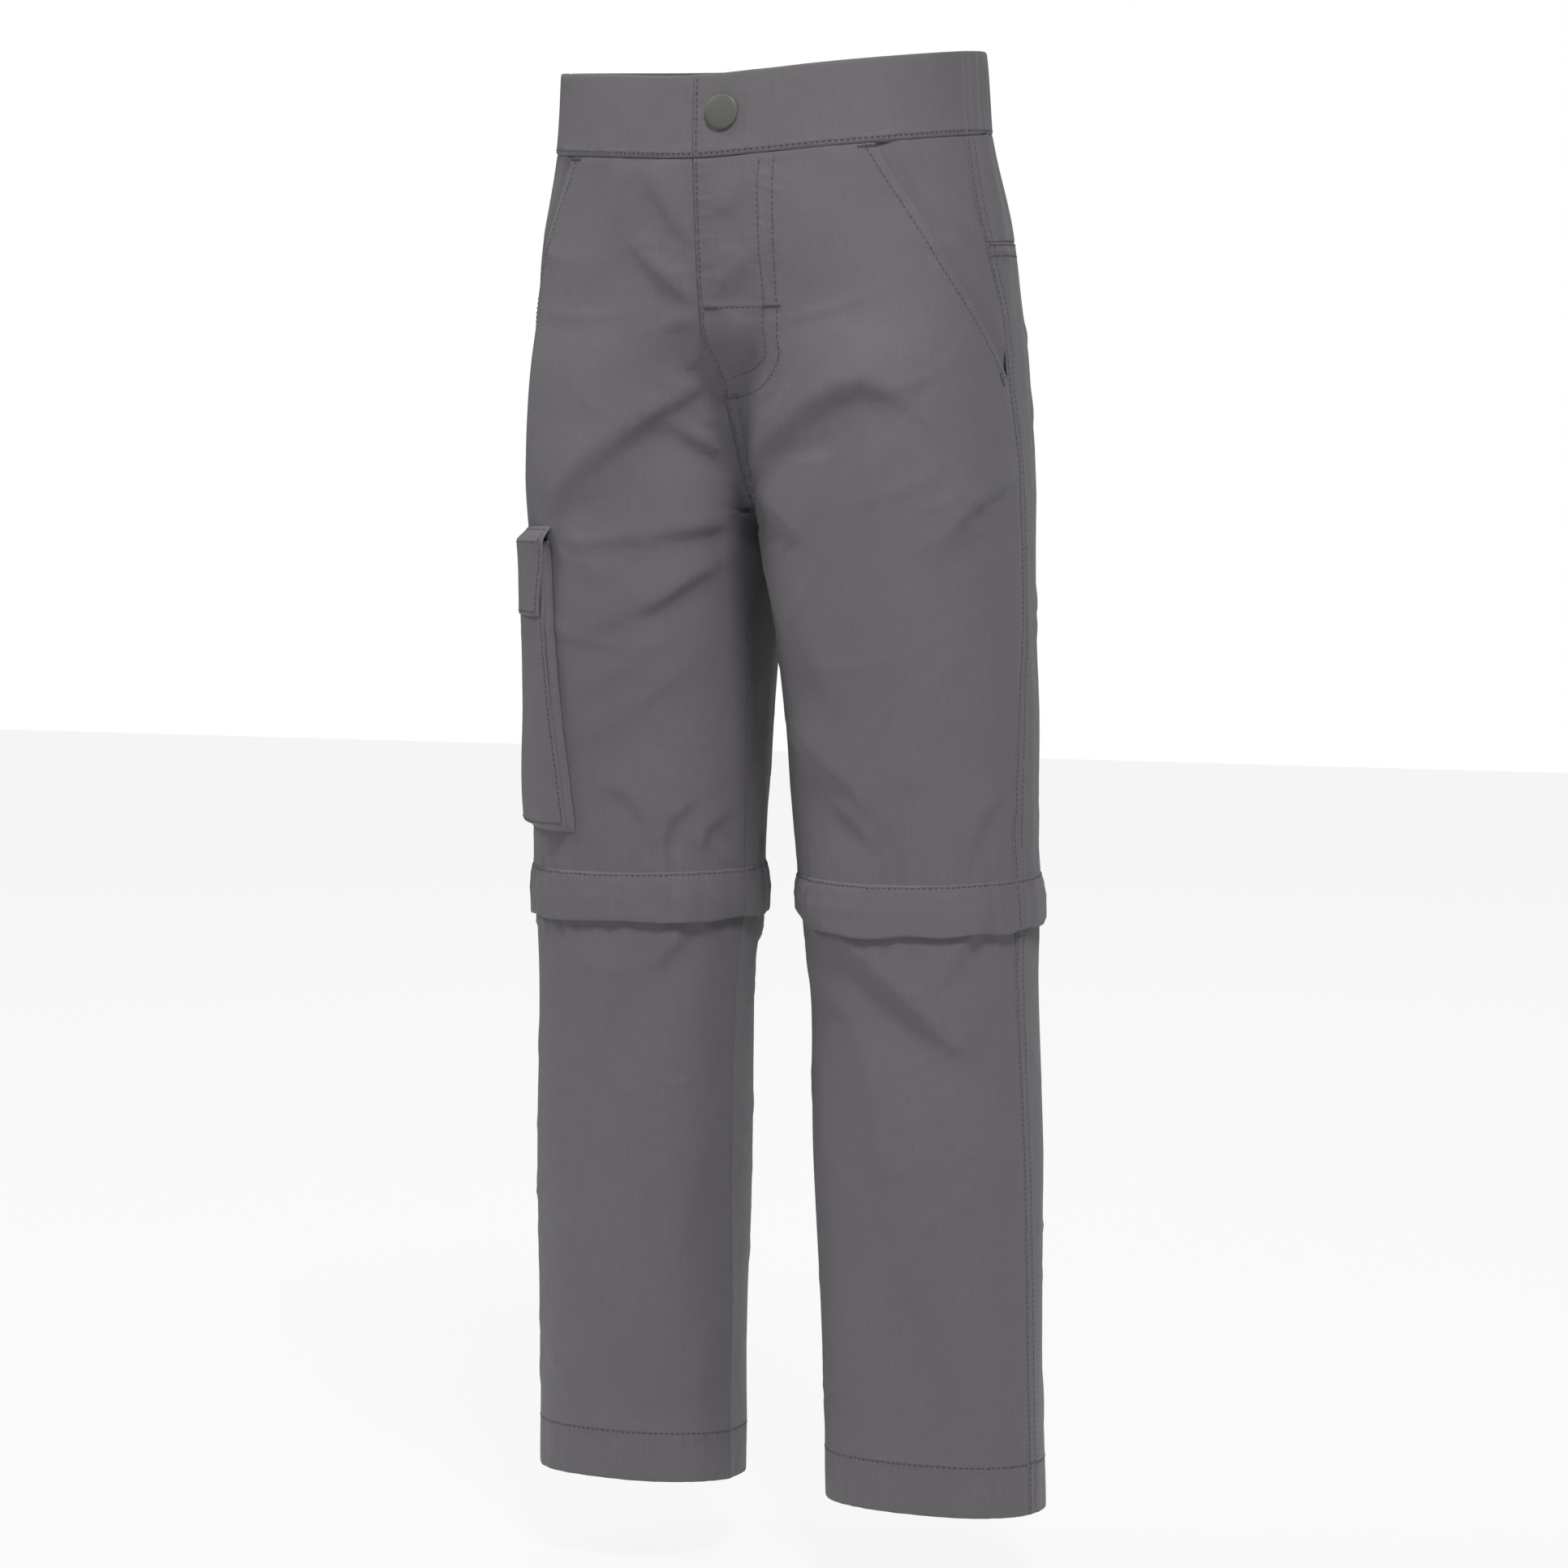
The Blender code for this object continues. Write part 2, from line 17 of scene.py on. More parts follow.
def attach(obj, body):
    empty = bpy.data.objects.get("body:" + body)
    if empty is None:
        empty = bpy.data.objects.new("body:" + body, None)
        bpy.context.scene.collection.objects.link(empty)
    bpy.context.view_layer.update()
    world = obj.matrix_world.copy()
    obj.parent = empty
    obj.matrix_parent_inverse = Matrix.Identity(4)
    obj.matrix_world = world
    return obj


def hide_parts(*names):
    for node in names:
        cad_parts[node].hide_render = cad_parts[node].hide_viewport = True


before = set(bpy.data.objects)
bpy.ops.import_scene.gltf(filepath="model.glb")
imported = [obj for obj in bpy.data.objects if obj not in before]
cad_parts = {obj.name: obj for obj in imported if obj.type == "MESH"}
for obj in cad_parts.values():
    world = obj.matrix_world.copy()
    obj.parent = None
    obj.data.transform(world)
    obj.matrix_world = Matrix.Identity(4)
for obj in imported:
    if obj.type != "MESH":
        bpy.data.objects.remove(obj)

bl_info = {
    "name": "Zip-off Trousers",
    "version": (1, 0, 0),
    "blender": (4, 5, 0),
    "location": "3D View > Sidebar > Trousers",
    "description": "Cloth, seams, snap and zips of a pair of zip-off trousers",
    "category": "Object",
}

MM = 0.001
LEFT, RIGHT = 1, -1
NAMES = {LEFT: "left", RIGHT: "right"}

# The garment's main heights, and how its layers lie. They repeat the solids' values.
WAIST_SEAM = 38.0
YOKE_SEAM = 87.0
POCKET_END = 150.0
FLY_END = 169.0
CROTCH = 225.0
BAND_TOP = 379.0
ZIP_TOP = 388.5
ZIP_BOTTOM = 394.5
BAND_BOTTOM = 403.0
HEM_STITCH = 655.0
SIDE_LENGTH = 679.0
GAP = 0.3
LAYER = 1.8
INSIDE = 2.3
BAND_STAND = 0.6
FLARE = 2.6
FLY_LAP = 3.0
UNDERLAP = 20.0
UNDERLAP_END = 147.0
LAP_FADE = 15.0
SNAP_ACROSS = 11.5
SNAP_DROP = 17.5
SNAP_RADIUS = 8.0
CARGO_MIDDLE = -9.0
CARGO_WIDTH = 124.0
CARGO_SPREAD = 5.0
CARGO_TOP = 224.0
CARGO_BOTTOM = 358.0
CARGO_DEPTH = 2.8
FLAP_TOP = 217.0
FLAP_BOTTOM = 259.0
FLAP_WIDTH = 134.0
FLAP_TAPER = 6.0
FRONT_DIP = 3.0
THIGH_EASE = {LEFT: 1.7, RIGHT: -2.6}
ROUND_FRONT = 24.0
BACK_FULLNESS = 1.5

# The solids that carry each solid's cloth. The waistband has none: the wearer holds it up.
CARRIERS = {
    "front": ("waistband_front",),
    "pocket_facing": ("waistband_front",),
    "fly_zip": ("front_left",),
    "yoke": ("waistband_back",),
    "back": ("yoke",),
    "knee_zip": ("front", "back"),
    "knee_band": ("front", "back"),
    "lower_front": ("knee_zip",),
    "lower_back": ("knee_zip",),
    "hem": ("lower_front", "lower_back"),
    "cargo_bag": ("cargo_gusset",),
    "cargo_gusset": ("front_right", "back_right"),
    "cargo_flap": ("front_right", "back_right"),
}

# How thick the cloth looks: one layer, a folded edge, and a band of two or more.
SINGLE = 0.7
DOUBLE = 1.5
BANDING = 1.3

# Half of the garment at each drop: an oval round centre_x and centre_y, cut off at the middle.
SECTION_COLUMNS = "drop centre_x outer inner front back centre_y power lean curve".split()
SECTIONS = np.array(
    [
        (-8, 0, 103, 103, 79, 76, -1, 2.15, 0.11, 0.046),
        (38, 0, 106, 106, 81, 82, -1, 2.15, 0.10, 0.046),
        (82, 12, 103, 100, 79, 88, 0, 2.15, 0.08, 0.040),
        (117, 30, 88, 80, 76, 91, 0, 2.15, 0.06, 0.030),
        (137, 46, 73.5, 64, 75, 92, 0, 2.15, 0.05, 0.020),
        (168, 55, 66, 62.5, 74, 91, 0, 2.15, 0.02, 0.010),
        (199, 59.5, 62, 62.5, 73, 86, 0, 2.15, 0.01, 0),
        (218, 61.5, 60, 61.8, 71, 80, 0, 2.15, 0, 0),
        (225, 62, 59.5, 62, 70, 78, 0, 2.15, 0, 0),
        (257, 65, 57.5, 60, 67, 70, 1, 2.15, 0, 0),
        (297, 68, 56.5, 58, 63, 64, 3, 2.15, 0, 0),
        (342, 70, 56, 57, 58, 59, 5, 2.15, 0.01, 0),
        (382, 71, 55.5, 55, 55, 56, 7, 2.15, 0.02, 0),
        (427, 72, 53.5, 52, 52, 53, 9, 2.15, 0.02, 0),
        (517, 74, 52.5, 51.5, 50, 51, 11, 2.2, -0.03, 0),
        (597, 76, 51.5, 50.5, 48, 49, 13, 2.25, -0.07, 0),
        (690, 78, 51, 50, 46, 47, 15, 2.3, -0.11, 0),
    ]
)

# How many degrees each seam lies in front of the leg's outermost and innermost line.
SEAM_COLUMNS = "drop side_turn inner_turn".split()
SEAMS = np.array(
    [
        (-8, 10, 0),
        (38, 10, 0),
        (77, 11.5, 0),
        (95, 8.5, 0),
        (114, 3, 0),
        (150, 0, 0),
        (225, -2, 0),
        (260, 1, 13),
        (297, 9, 13.5),
        (342, 13, 12.5),
        (427, 14.5, 10.5),
        (517, 9, 11.5),
        (597, 9, 9),
        (690, 10, 8),
    ]
)

# The slanted edge of the hip pocket's opening, as degrees round from the leg's outer line.
POCKET_COLUMNS = "drop turn".split()
POCKET = np.array([(38, -45), (68, -37), (100, -27), (125, -15), (POCKET_END, 0)])

# Folds: the side, the points that the step in the cloth follows as (degrees round, drop), half
# the width of its steep face, how far it dies out, and half its height.
FOLDS = (
    (RIGHT, ((-72, 214), (-78, 203), (-89, 190), (-101, 177), (-114, 165), (-126, 157), (-134, 153)), 6.5, 19, 6.1),
    (RIGHT, ((-115, 169), (-128, 177), (-142, 184), (-152, 189)), 4.3, 13, 3.8),
    (RIGHT, ((-110, 225), (-126, 222), (-139, 220), (-155, 216)), 4.3, 13, 3.4),
    (RIGHT, ((-108, 260), (-120, 255), (-133, 245), (-149, 236)), 5.1, 14, 3.4),
    (RIGHT, ((-95, 226), (-106, 225), (-118, 230)), 3.6, 10, 1.5),
    (RIGHT, ((-75, 80), (-85, 94), (-94, 105), (-105, 113)), 5.8, 14, 3.4),
    (RIGHT, ((-75, 44), (-82, 61), (-90, 78), (-96, 88)), 5.8, 13, 2.8),
    (RIGHT, ((-98, 124), (-105, 121), (-111, 118)), 4.3, 10, 1.9),
    (RIGHT, ((-119, 142), (-126, 138), (-126, 131)), 3.6, 10, 1.9),
    (RIGHT, ((-65, 41), (-66, 60), (-68, 84)), 8.7, 19, 1.9),
    (RIGHT, ((-92, 339), (-104, 345), (-114, 359)), 4.3, 13, 1.9),
    (RIGHT, ((-122, 370), (-127, 356), (-141, 346)), 4.3, 13, 2.5),
    (RIGHT, ((-144, 371), (-146, 361), (-160, 352)), 3.6, 10, 1.9),
    (RIGHT, ((-76, 326), (-102, 312), (-124, 295), (-142, 283)), 7.2, 19, 1.9),
    (RIGHT, ((-78, 275), (-102, 263), (-130, 248)), 7.2, 16, 1.3),
    (RIGHT, ((-80, 302), (-102, 289), (-134, 265)), 7.2, 16, 1.5),
    (RIGHT, ((-136, 403), (-132, 415), (-115, 430)), 5.8, 14, 2.7),
    (RIGHT, ((-104, 404), (-106, 420), (-101, 444), (-91, 481)), 10.2, 26, 2.5),
    (RIGHT, ((-36, 551), (-70, 569), (-88, 598), (-101, 629), (-108, 647)), 10.2, 26, 2.7),
    (RIGHT, ((-35, 616), (-63, 633), (-72, 652)), 5.8, 13, 1.5),
    (RIGHT, ((-157, 509), (-144, 540), (-139, 572)), 8.7, 19, 1.5),
    (RIGHT, ((-166, 605), (-152, 628), (-146, 646)), 5.8, 14, 1.3),
    (LEFT, ((-144, 194), (-120, 184), (-102, 173), (-90, 163), (-80, 156), (-72, 154), (-64, 158), (-56, 165)), 6.5, 19, 6.1),
    (LEFT, ((-142, 201), (-121, 214), (-106, 226)), 4.3, 13, 2.7),
    (LEFT, ((-44, 222), (-26, 209), (2, 196)), 5.1, 16, 3.4),
    (LEFT, ((-54, 236), (-34, 225), (0, 214)), 5.8, 14, 1.5),
    (LEFT, ((-91, 67), (-86, 65), (-80, 52)), 4.3, 10, 1.5),
    (LEFT, ((-102, 109), (-93, 101), (-84, 87)), 4.3, 11, 2.3),
    (LEFT, ((-132, 140), (-105, 128), (-93, 119)), 4.3, 10, 1.9),
    (LEFT, ((-63, 46), (-64, 68), (-69, 95), (-81, 121)), 17.4, 35, 2.3),
    (LEFT, ((-150, 242), (-122, 268), (-109, 288), (-101, 306)), 10.2, 26, 3),
    (LEFT, ((-152, 312), (-119, 324), (-98, 337), (-80, 361)), 6.5, 18, 3.2),
    (LEFT, ((-110, 344), (-98, 352), (-88, 365)), 4.3, 11, 2.3),
    (LEFT, ((-40, 366), (-34, 352), (-19, 338)), 5.1, 14, 3.2),
    (LEFT, ((-22, 366), (-18, 355), (-9, 348)), 3.6, 8, 1.5),
    (LEFT, ((-86, 341), (-74, 333), (-60, 340)), 5.8, 13, 1.1),
    (LEFT, ((-118, 404), (-98, 418), (-80, 436), (-63, 453), (-46, 465)), 7.2, 22, 5.7),
    (LEFT, ((-34, 397), (-44, 408), (-61, 429)), 5.1, 14, 3.4),
    (LEFT, ((-175, 424), (-112, 446), (-102, 480), (-94, 522), (-88, 564), (-72, 605), (-55, 636)), 13, 35, 4.2),
    (LEFT, ((135, 182), (118, 196), (98, 207), (70, 226)), 6.5, 21, 5.7),
    (RIGHT, ((138, 180), (120, 198), (104, 211), (74, 223)), 6.5, 21, 5.3),
    (LEFT, ((156, 246), (130, 261), (104, 266)), 5.1, 14, 3.2),
    (RIGHT, ((158, 252), (134, 263), (110, 270)), 5.1, 14, 3.4),
    (LEFT, ((168, 212), (148, 222), (128, 240)), 4.3, 13, 2.7),
    (RIGHT, ((166, 218), (144, 226), (128, 238)), 4.3, 13, 2.7),
    (LEFT, ((146, 118), (122, 134), (92, 130)), 7.2, 19, 2.5),
    (RIGHT, ((150, 140), (126, 150), (98, 142)), 7.2, 19, 2.3),
    (LEFT, ((58, 250), (78, 290), (90, 340)), 11.6, 26, 2.5),
    (RIGHT, ((62, 262), (82, 300), (96, 338)), 11.6, 26, 2.5),
    (LEFT, ((60, 346), (84, 354), (104, 372)), 5.1, 14, 3),
    (LEFT, ((150, 338), (132, 352), (122, 374)), 4.3, 13, 2.5),
    (LEFT, ((30, 352), (36, 364), (38, 376)), 4.3, 10, 1.9),
    (RIGHT, ((150, 338), (128, 352), (112, 372)), 5.1, 14, 3),
    (RIGHT, ((60, 350), (66, 362), (68, 376)), 4.3, 10, 1.9),
    (RIGHT, ((34, 340), (52, 352), (58, 370)), 4.3, 13, 2.3),
    (LEFT, ((165, 410), (140, 424), (118, 438), (92, 450)), 6.5, 21, 4.9),
    (RIGHT, ((160, 412), (138, 424), (116, 436), (94, 454)), 6.5, 21, 4.9),
    (LEFT, ((40, 408), (56, 424), (80, 432)), 5.1, 14, 2.8),
    (RIGHT, ((36, 406), (50, 422), (70, 434)), 5.1, 14, 2.8),
    (LEFT, ((150, 460), (120, 520), (104, 610)), 13, 32, 3.4),
    (RIGHT, ((60, 470), (84, 540), (96, 620)), 13, 32, 3.2),
    (LEFT, ((24, 520), (44, 560), (60, 640)), 10.2, 26, 1.9),
    (RIGHT, ((146, 560), (132, 600), (128, 650)), 8.7, 19, 1.7),
)


FOLD_STRENGTH = 1.0
INSEAM_EDGE = 2.6
CREASES = 150


# ---- Form ----


def column(table, names, name, drop):
    """One column of a table at any drop, along a smooth curve through its rows."""
    rows = table[:, 0]
    values = table[:, names.index(name)]
    slopes = np.gradient(values, rows)
    drop = np.clip(drop, rows[0], rows[-1])
    i = np.clip(np.searchsorted(rows, drop, side="right") - 1, 0, len(rows) - 2)
    step = rows[i + 1] - rows[i]
    t = (drop - rows[i]) / step
    start = (2 * t**3 - 3 * t**2 + 1) * values[i] + (t**3 - 2 * t**2 + t) * step * slopes[i]
    end = (3 * t**2 - 2 * t**3) * values[i + 1] + (t**3 - t**2) * step * slopes[i + 1]
    return start + end


def section(name, drop):
    return column(SECTIONS, SECTION_COLUMNS, name, drop)


def seam(name, drop):
    return np.radians(column(SEAMS, SEAM_COLUMNS, name, drop))


def ease(t):
    """0 to 1 with level ends."""
    t = np.clip(t, 0, 1)
    return t * t * (3 - 2 * t)


def surface(side, turn, drop):
    """The cloth's smooth form. turn is 0 at the outer side and below 0 towards the front."""
    turn, drop = np.broadcast_arrays(np.asarray(turn, float), np.asarray(drop, float))
    level, depth = np.cos(turn), np.sin(turn)
    centre, power = section("centre_x", drop), section("power", drop)
    inner = section("inner", drop)
    fuller = THIGH_EASE[side] * ease((drop - 190) / 50) * (1 - ease((drop - 300) / 50))
    outer = section("outer", drop) + fuller
    half = np.where(level >= 0, outer, inner)
    x = centre + half * np.sign(level) * np.abs(level) ** (2 / power)
    soft = np.clip(2 * (inner - centre), 1e-6, ROUND_FRONT)
    rounded = np.where((x < soft) & (drop < CROTCH), (x * x + soft * soft) / (2 * soft), x)
    share = np.clip(np.abs(rounded - centre) / np.where(rounded < centre, inner, outer), 0, 1)
    full = np.where((depth > 0) & (rounded < centre) & (drop < CROTCH), BACK_FULLNESS, 1)
    full = 1 + (full - 1) * (1 - ease((drop - 137) / (CROTCH - 137)))
    reach = (1 - share ** (power * full)) ** (1 / power)
    extent = np.where(depth < 0, -section("front", drop), section("back", drop))
    y = section("centre_y", drop) + extent * reach
    z = -drop + section("lean", drop) * y - section("curve", drop) * y * y / 100
    return np.stack([side * x, y, z], -1)


def arc(turn, drop):
    """How far round the leg a turn is from its outer side."""
    return turn * (section("outer", drop) + section("front", drop)) / 2


def ripple(turn, seed, lowest, highest):
    """Uneven waves round the leg that meet where they close, with this many to a full turn."""
    chance = np.random.default_rng(seed)
    total = 0
    for count in chance.integers(lowest, highest, 9):
        total = total + np.cos(count * turn + chance.uniform(0, 2 * np.pi))
    return total / 3


def slack(side, turn, drop):
    """The cloth's slow unevenness: long soft waves that mostly run down the leg."""
    chance = np.random.default_rng(40 + side)
    total = 0
    for _ in range(12):
        count = chance.integers(2, 9)
        down = chance.uniform(-0.035, 0.035)
        total = total + np.cos(count * turn + down * drop + chance.uniform(0, 2 * np.pi)) / count
    return 0.75 * total


def puckers(side, turn, drop):
    """Short gathers that leave the waist seam, the knee seams and the hem."""
    total = 0
    gathered = ((38.0, 16, 0.3, 1), (BAND_TOP, 6, 0.22, -1), (ZIP_BOTTOM, 12, 0.25, 1), (HEM_STITCH, 8, 0.16, -1))
    for k, (line, reach, height, way) in enumerate(gathered):
        away = way * (drop - line)
        long = reach * (1 + 0.5 * ripple(turn, 90 + k + side, 3, 14))
        fade = np.exp(-np.maximum(away, 0) / np.maximum(long, 3)) * (away > -30)
        total = total + height * ripple(turn, 70 + k + side, 22, 46) * fade
    return total


def fold_step(side, turn, drop):
    """The folds: cloth that hangs over each one's line, turns in steeply and comes out gently."""
    total = np.zeros(np.broadcast(turn, drop).shape)
    for fold_side, points, steep, reach, height in FOLDS:
        if fold_side != side:
            continue
        middle = math.radians(sum(a for a, _ in points) / len(points))
        near = (turn - middle + np.pi) % (2 * np.pi) - np.pi + middle
        line = [(float(arc(math.radians(a), d)), d) for a, d in points]
        way = 1 if line[-1][0] >= line[0][0] else -1
        nearest, along = np.full(total.shape, np.inf), np.zeros(total.shape)
        signed = np.zeros(total.shape)
        for i, ((x1, z1), (x2, z2)) in enumerate(zip(line, line[1:])):
            span_x, span_z = x2 - x1, z2 - z1
            away_x, away_z = arc(near, drop) - x1, drop - z1
            share = np.clip((away_x * span_x + away_z * span_z) / (span_x**2 + span_z**2), 0, 1)
            away = np.hypot(away_x - share * span_x, away_z - share * span_z)
            under = (span_x * away_z - span_z * away_x) * way
            closer = away < nearest
            along = np.where(closer, (i + share) / (len(line) - 1), along)
            signed = np.where(closer, np.where(under >= 0, away, -away), signed)
            nearest = np.minimum(nearest, away)
        fade = 0.1 + 0.9 * np.sin(np.pi * along) ** 0.7
        bent = np.where(signed < 0, 1.5, 0.8) * signed / steep
        total = total - height * fade * np.tanh(bent) * np.exp(-nearest / reach)
    return FOLD_STRENGTH * total


def creases(side, turn, drop):
    """Small creases: short soft ridges that slant down and outwards from between the legs."""
    chance = np.random.default_rng(310 + side)
    total = 0
    for _ in range(CREASES):
        middle, level = chance.uniform(-np.pi, np.pi), chance.uniform(50, 640)
        slant = np.radians(chance.normal(32, 16)) * (1 if abs(middle) > 0.6 else -1)
        slant = slant * (1 if middle < 0 else -1)
        long, wide = chance.uniform(9, 30), chance.uniform(1.6, 4.2)
        height = chance.uniform(0.15, 0.5) * (1.5 if 130 < level < 300 else 1)
        x = ((turn - middle + np.pi) % (2 * np.pi) - np.pi) * 58
        z = drop - level
        along = (x * np.cos(slant) - z * np.sin(slant)) / long
        over = (x * np.sin(slant) + z * np.cos(slant) + 3 * along**2) / wide
        total = total + height * np.exp(-(along**2) - over**2) * (1 - 0.8 * over)
    return total


def trim(side, turn, drop):
    """Where the filled garment is a little slimmer or fuller than its solids."""

    def near(angle, wide):
        away = (turn - math.radians(angle) + np.pi) % (2 * np.pi) - np.pi
        return np.exp(-((away / math.radians(wide)) ** 2))

    low = ease((drop - 400) / 120)
    if side == LEFT:
        hip = (1 - ease((drop - 150) / 60)) * near(30, 60)
        return -2.8 * hip + 2.0 * low * near(-160, 40)
    return 1.6 * low * near(10, 50) - 2.8 * low * near(170, 45)


def inseam_edge(side, turn, drop):
    """The inseam stands out as a soft edge, where the flat-pressed legs turn back."""
    away = np.abs((turn - seam("inner_turn", drop)) % (2 * np.pi) - np.pi) * 52
    return INSEAM_EDGE * np.exp(-away / 11) * ease((drop - CROTCH - 10) / 60)


def rise_puckers(side, turn, drop):
    """Short gathers across the front rise, where two rows of stitches draw it up."""
    away = np.abs(surface(side, turn, drop)[..., 0])
    front = (np.sin(turn) < 0) * ease((drop - 45) / 20) * (1 - ease((drop - CROTCH + 4) / 5))
    tight = 0.35 + 0.65 * ease((drop - 145) / 20)
    wave = 0
    chance = np.random.default_rng(500 + side)
    for _ in range(7):
        wave = wave + np.cos(drop * chance.uniform(0.5, 1.5) + away * 0.1 + chance.uniform(0, 2 * np.pi))
    reach = np.exp(-((away - 3) ** 2) / 70)
    return 0.17 * tight * front * reach * wave


def drape(side, turn, drop):
    """How far the cloth stands out from its smooth form. It lies flat along the centre seams."""
    loose = ease((drop - 20) / 60)
    rise = np.abs(surface(side, turn, drop)[..., 0])
    free = 1 - (1 - ease(rise / 12)) * (1 - ease((drop - CROTCH) / 15))
    still = slack(side, turn, drop) * loose * (1 - 0.6 * ease((drop - 640) / 30))
    still = still + (puckers(side, turn, drop) + creases(side, turn, drop)) * loose
    still = still + fold_step(side, turn, drop)
    return free * still + rise_puckers(side, turn, drop) + trim(side, turn, drop) + inseam_edge(side, turn, drop)


def skin(side, turn, drop, out, limit=GAP / 2):
    """A point on the cloth, out millimetres outside its face and past the limit in X."""
    step = 1e-3
    point = surface(side, turn, drop)
    round_it = surface(side, turn + step, drop) - surface(side, turn - step, drop)
    down = surface(side, turn, drop + 0.5) - surface(side, turn, drop - 0.5)
    normal = -side * np.cross(round_it, down)
    normal = normal / np.linalg.norm(normal, axis=-1, keepdims=True)
    out = np.asarray(out + drape(side, turn, drop))
    point = point + normal * out[..., None]
    point[..., 0] = side * np.maximum(side * point[..., 0], limit)
    dip = np.exp(-((point[..., 0] / 42) ** 2)) * (1 - ease((drop - 15) / 90))
    point[..., 2] -= FRONT_DIP * dip * ease(-point[..., 1] / 30)
    return point


def moved(side, turn, drop, distance):
    """The turn that lies a distance further round, towards the back."""
    step = 1e-3
    span = surface(side, turn + step, drop) - surface(side, turn - step, drop)
    return turn + distance * 2 * step / np.maximum(np.linalg.norm(span, axis=-1), 1e-6)


def centre_edge(drop, past=-GAP / 2):
    """The turn of the centre line, or of a line that lies past it, up to the crotch."""
    share = np.clip((section("centre_x", drop) + past) / section("inner", drop), -1, 1)
    cut = np.sign(share) * np.abs(share) ** (section("power", drop) / 2)
    return np.where(drop >= CROTCH, np.pi, np.arccos(-cut))


def front_edge(side, drop, past=-GAP / 2):
    """The front panel's inner edge: the front rise, and the inseam below the crotch."""
    inseam = moved(side, seam("inner_turn", drop) - np.pi, drop, GAP / 2)
    return np.where(drop >= CROTCH, inseam, -centre_edge(drop, past))


def back_edge(side, drop):
    """The back panel's inner edge: the back rise, and the inseam below the crotch."""
    inseam = moved(side, seam("inner_turn", drop) + np.pi, drop, -GAP / 2)
    return np.where(drop >= CROTCH, inseam, centre_edge(drop))


def side_edge(side, drop, towards):
    """The side seam, half a gap towards the front (-1) or the back (1)."""
    return moved(side, -seam("side_turn", drop), drop, towards * GAP / 2)


def pocket_edge(drop):
    """The slanted edge of the hip pocket's opening."""
    return np.radians(column(POCKET, POCKET_COLUMNS, "turn", drop))


# ---- Cloth ----

EDGE_STOPS = (0, 0.25, 0.7, 1.6, 3.4)


def edged(length, step):
    """Stops along a length, close together at both ends and even between them."""
    ends = [s * min(1, length / 20) for s in EDGE_STOPS]
    inner = np.linspace(ends[-1], length - ends[-1], max(3, round((length - 2 * ends[-1]) / step) + 1))
    return np.concatenate([ends[:-1], inner, [length - s for s in ends[:-1]][::-1]])


def turned_in(away, radius):
    """How far a folded or cut edge rounds down at a distance from it."""
    t = 1 - np.clip(away / radius, 0, 1)
    return radius * (1 - np.sqrt(1 - t * t))


class Cloth:
    """A piece of cloth between two edges: where its points lie, and how far it stands out."""

    def __init__(self, place, flat, start, end, top, bottom, out=None, thick=SINGLE, sunk=(0.15, 0.15)):
        self.place = place
        self.flat = flat
        self.start, self.end = start, end
        self.top, self.bottom = top, bottom
        self.out = out or (lambda a, drop: 0 * a)
        self.thick = thick
        self.sunk = sunk

    def at(self, a, drop, lift=0.0):
        """Points on the cloth's face, lifted from it."""
        a, drop = np.broadcast_arrays(np.asarray(a, float), np.asarray(drop, float))
        return self.place(a, drop, self.out(a, drop) + lift)


def leg_cloth(side, start, end, top, bottom, out=None, limit=None, **more):
    """Cloth of a leg or the hips, whose points are given by turn and drop."""
    limit = limit or (lambda drop: GAP / 2)
    place = lambda turn, drop, lift: skin(side, turn, drop, lift, limit(drop))
    return Cloth(place, arc, lambda d: start(side, d), lambda d: end(side, d), top, bottom, out, **more)


def away_from(rows, x, z):
    """The distance from each point to the nearest row: with its side as the sign, and plain."""
    nearest = np.full(x.shape, 30.0)
    signed = np.full(x.shape, 30.0)
    for row in rows:
        for (x1, z1), (x2, z2) in zip(row, row[1:]):
            span_x, span_z = x2 - x1, z2 - z1
            share = ((x - x1) * span_x + (z - z1) * span_z) / max(span_x**2 + span_z**2, 1e-9)
            share = np.clip(share, 0, 1)
            away = np.hypot(x - x1 - share * span_x, z - z1 - share * span_z)
            under = span_x * (z - z1) - span_z * (x - x1)
            signed = np.where(away < nearest, np.where(under >= 0, away, -away), signed)
            nearest = np.minimum(nearest, away)
    return signed, nearest


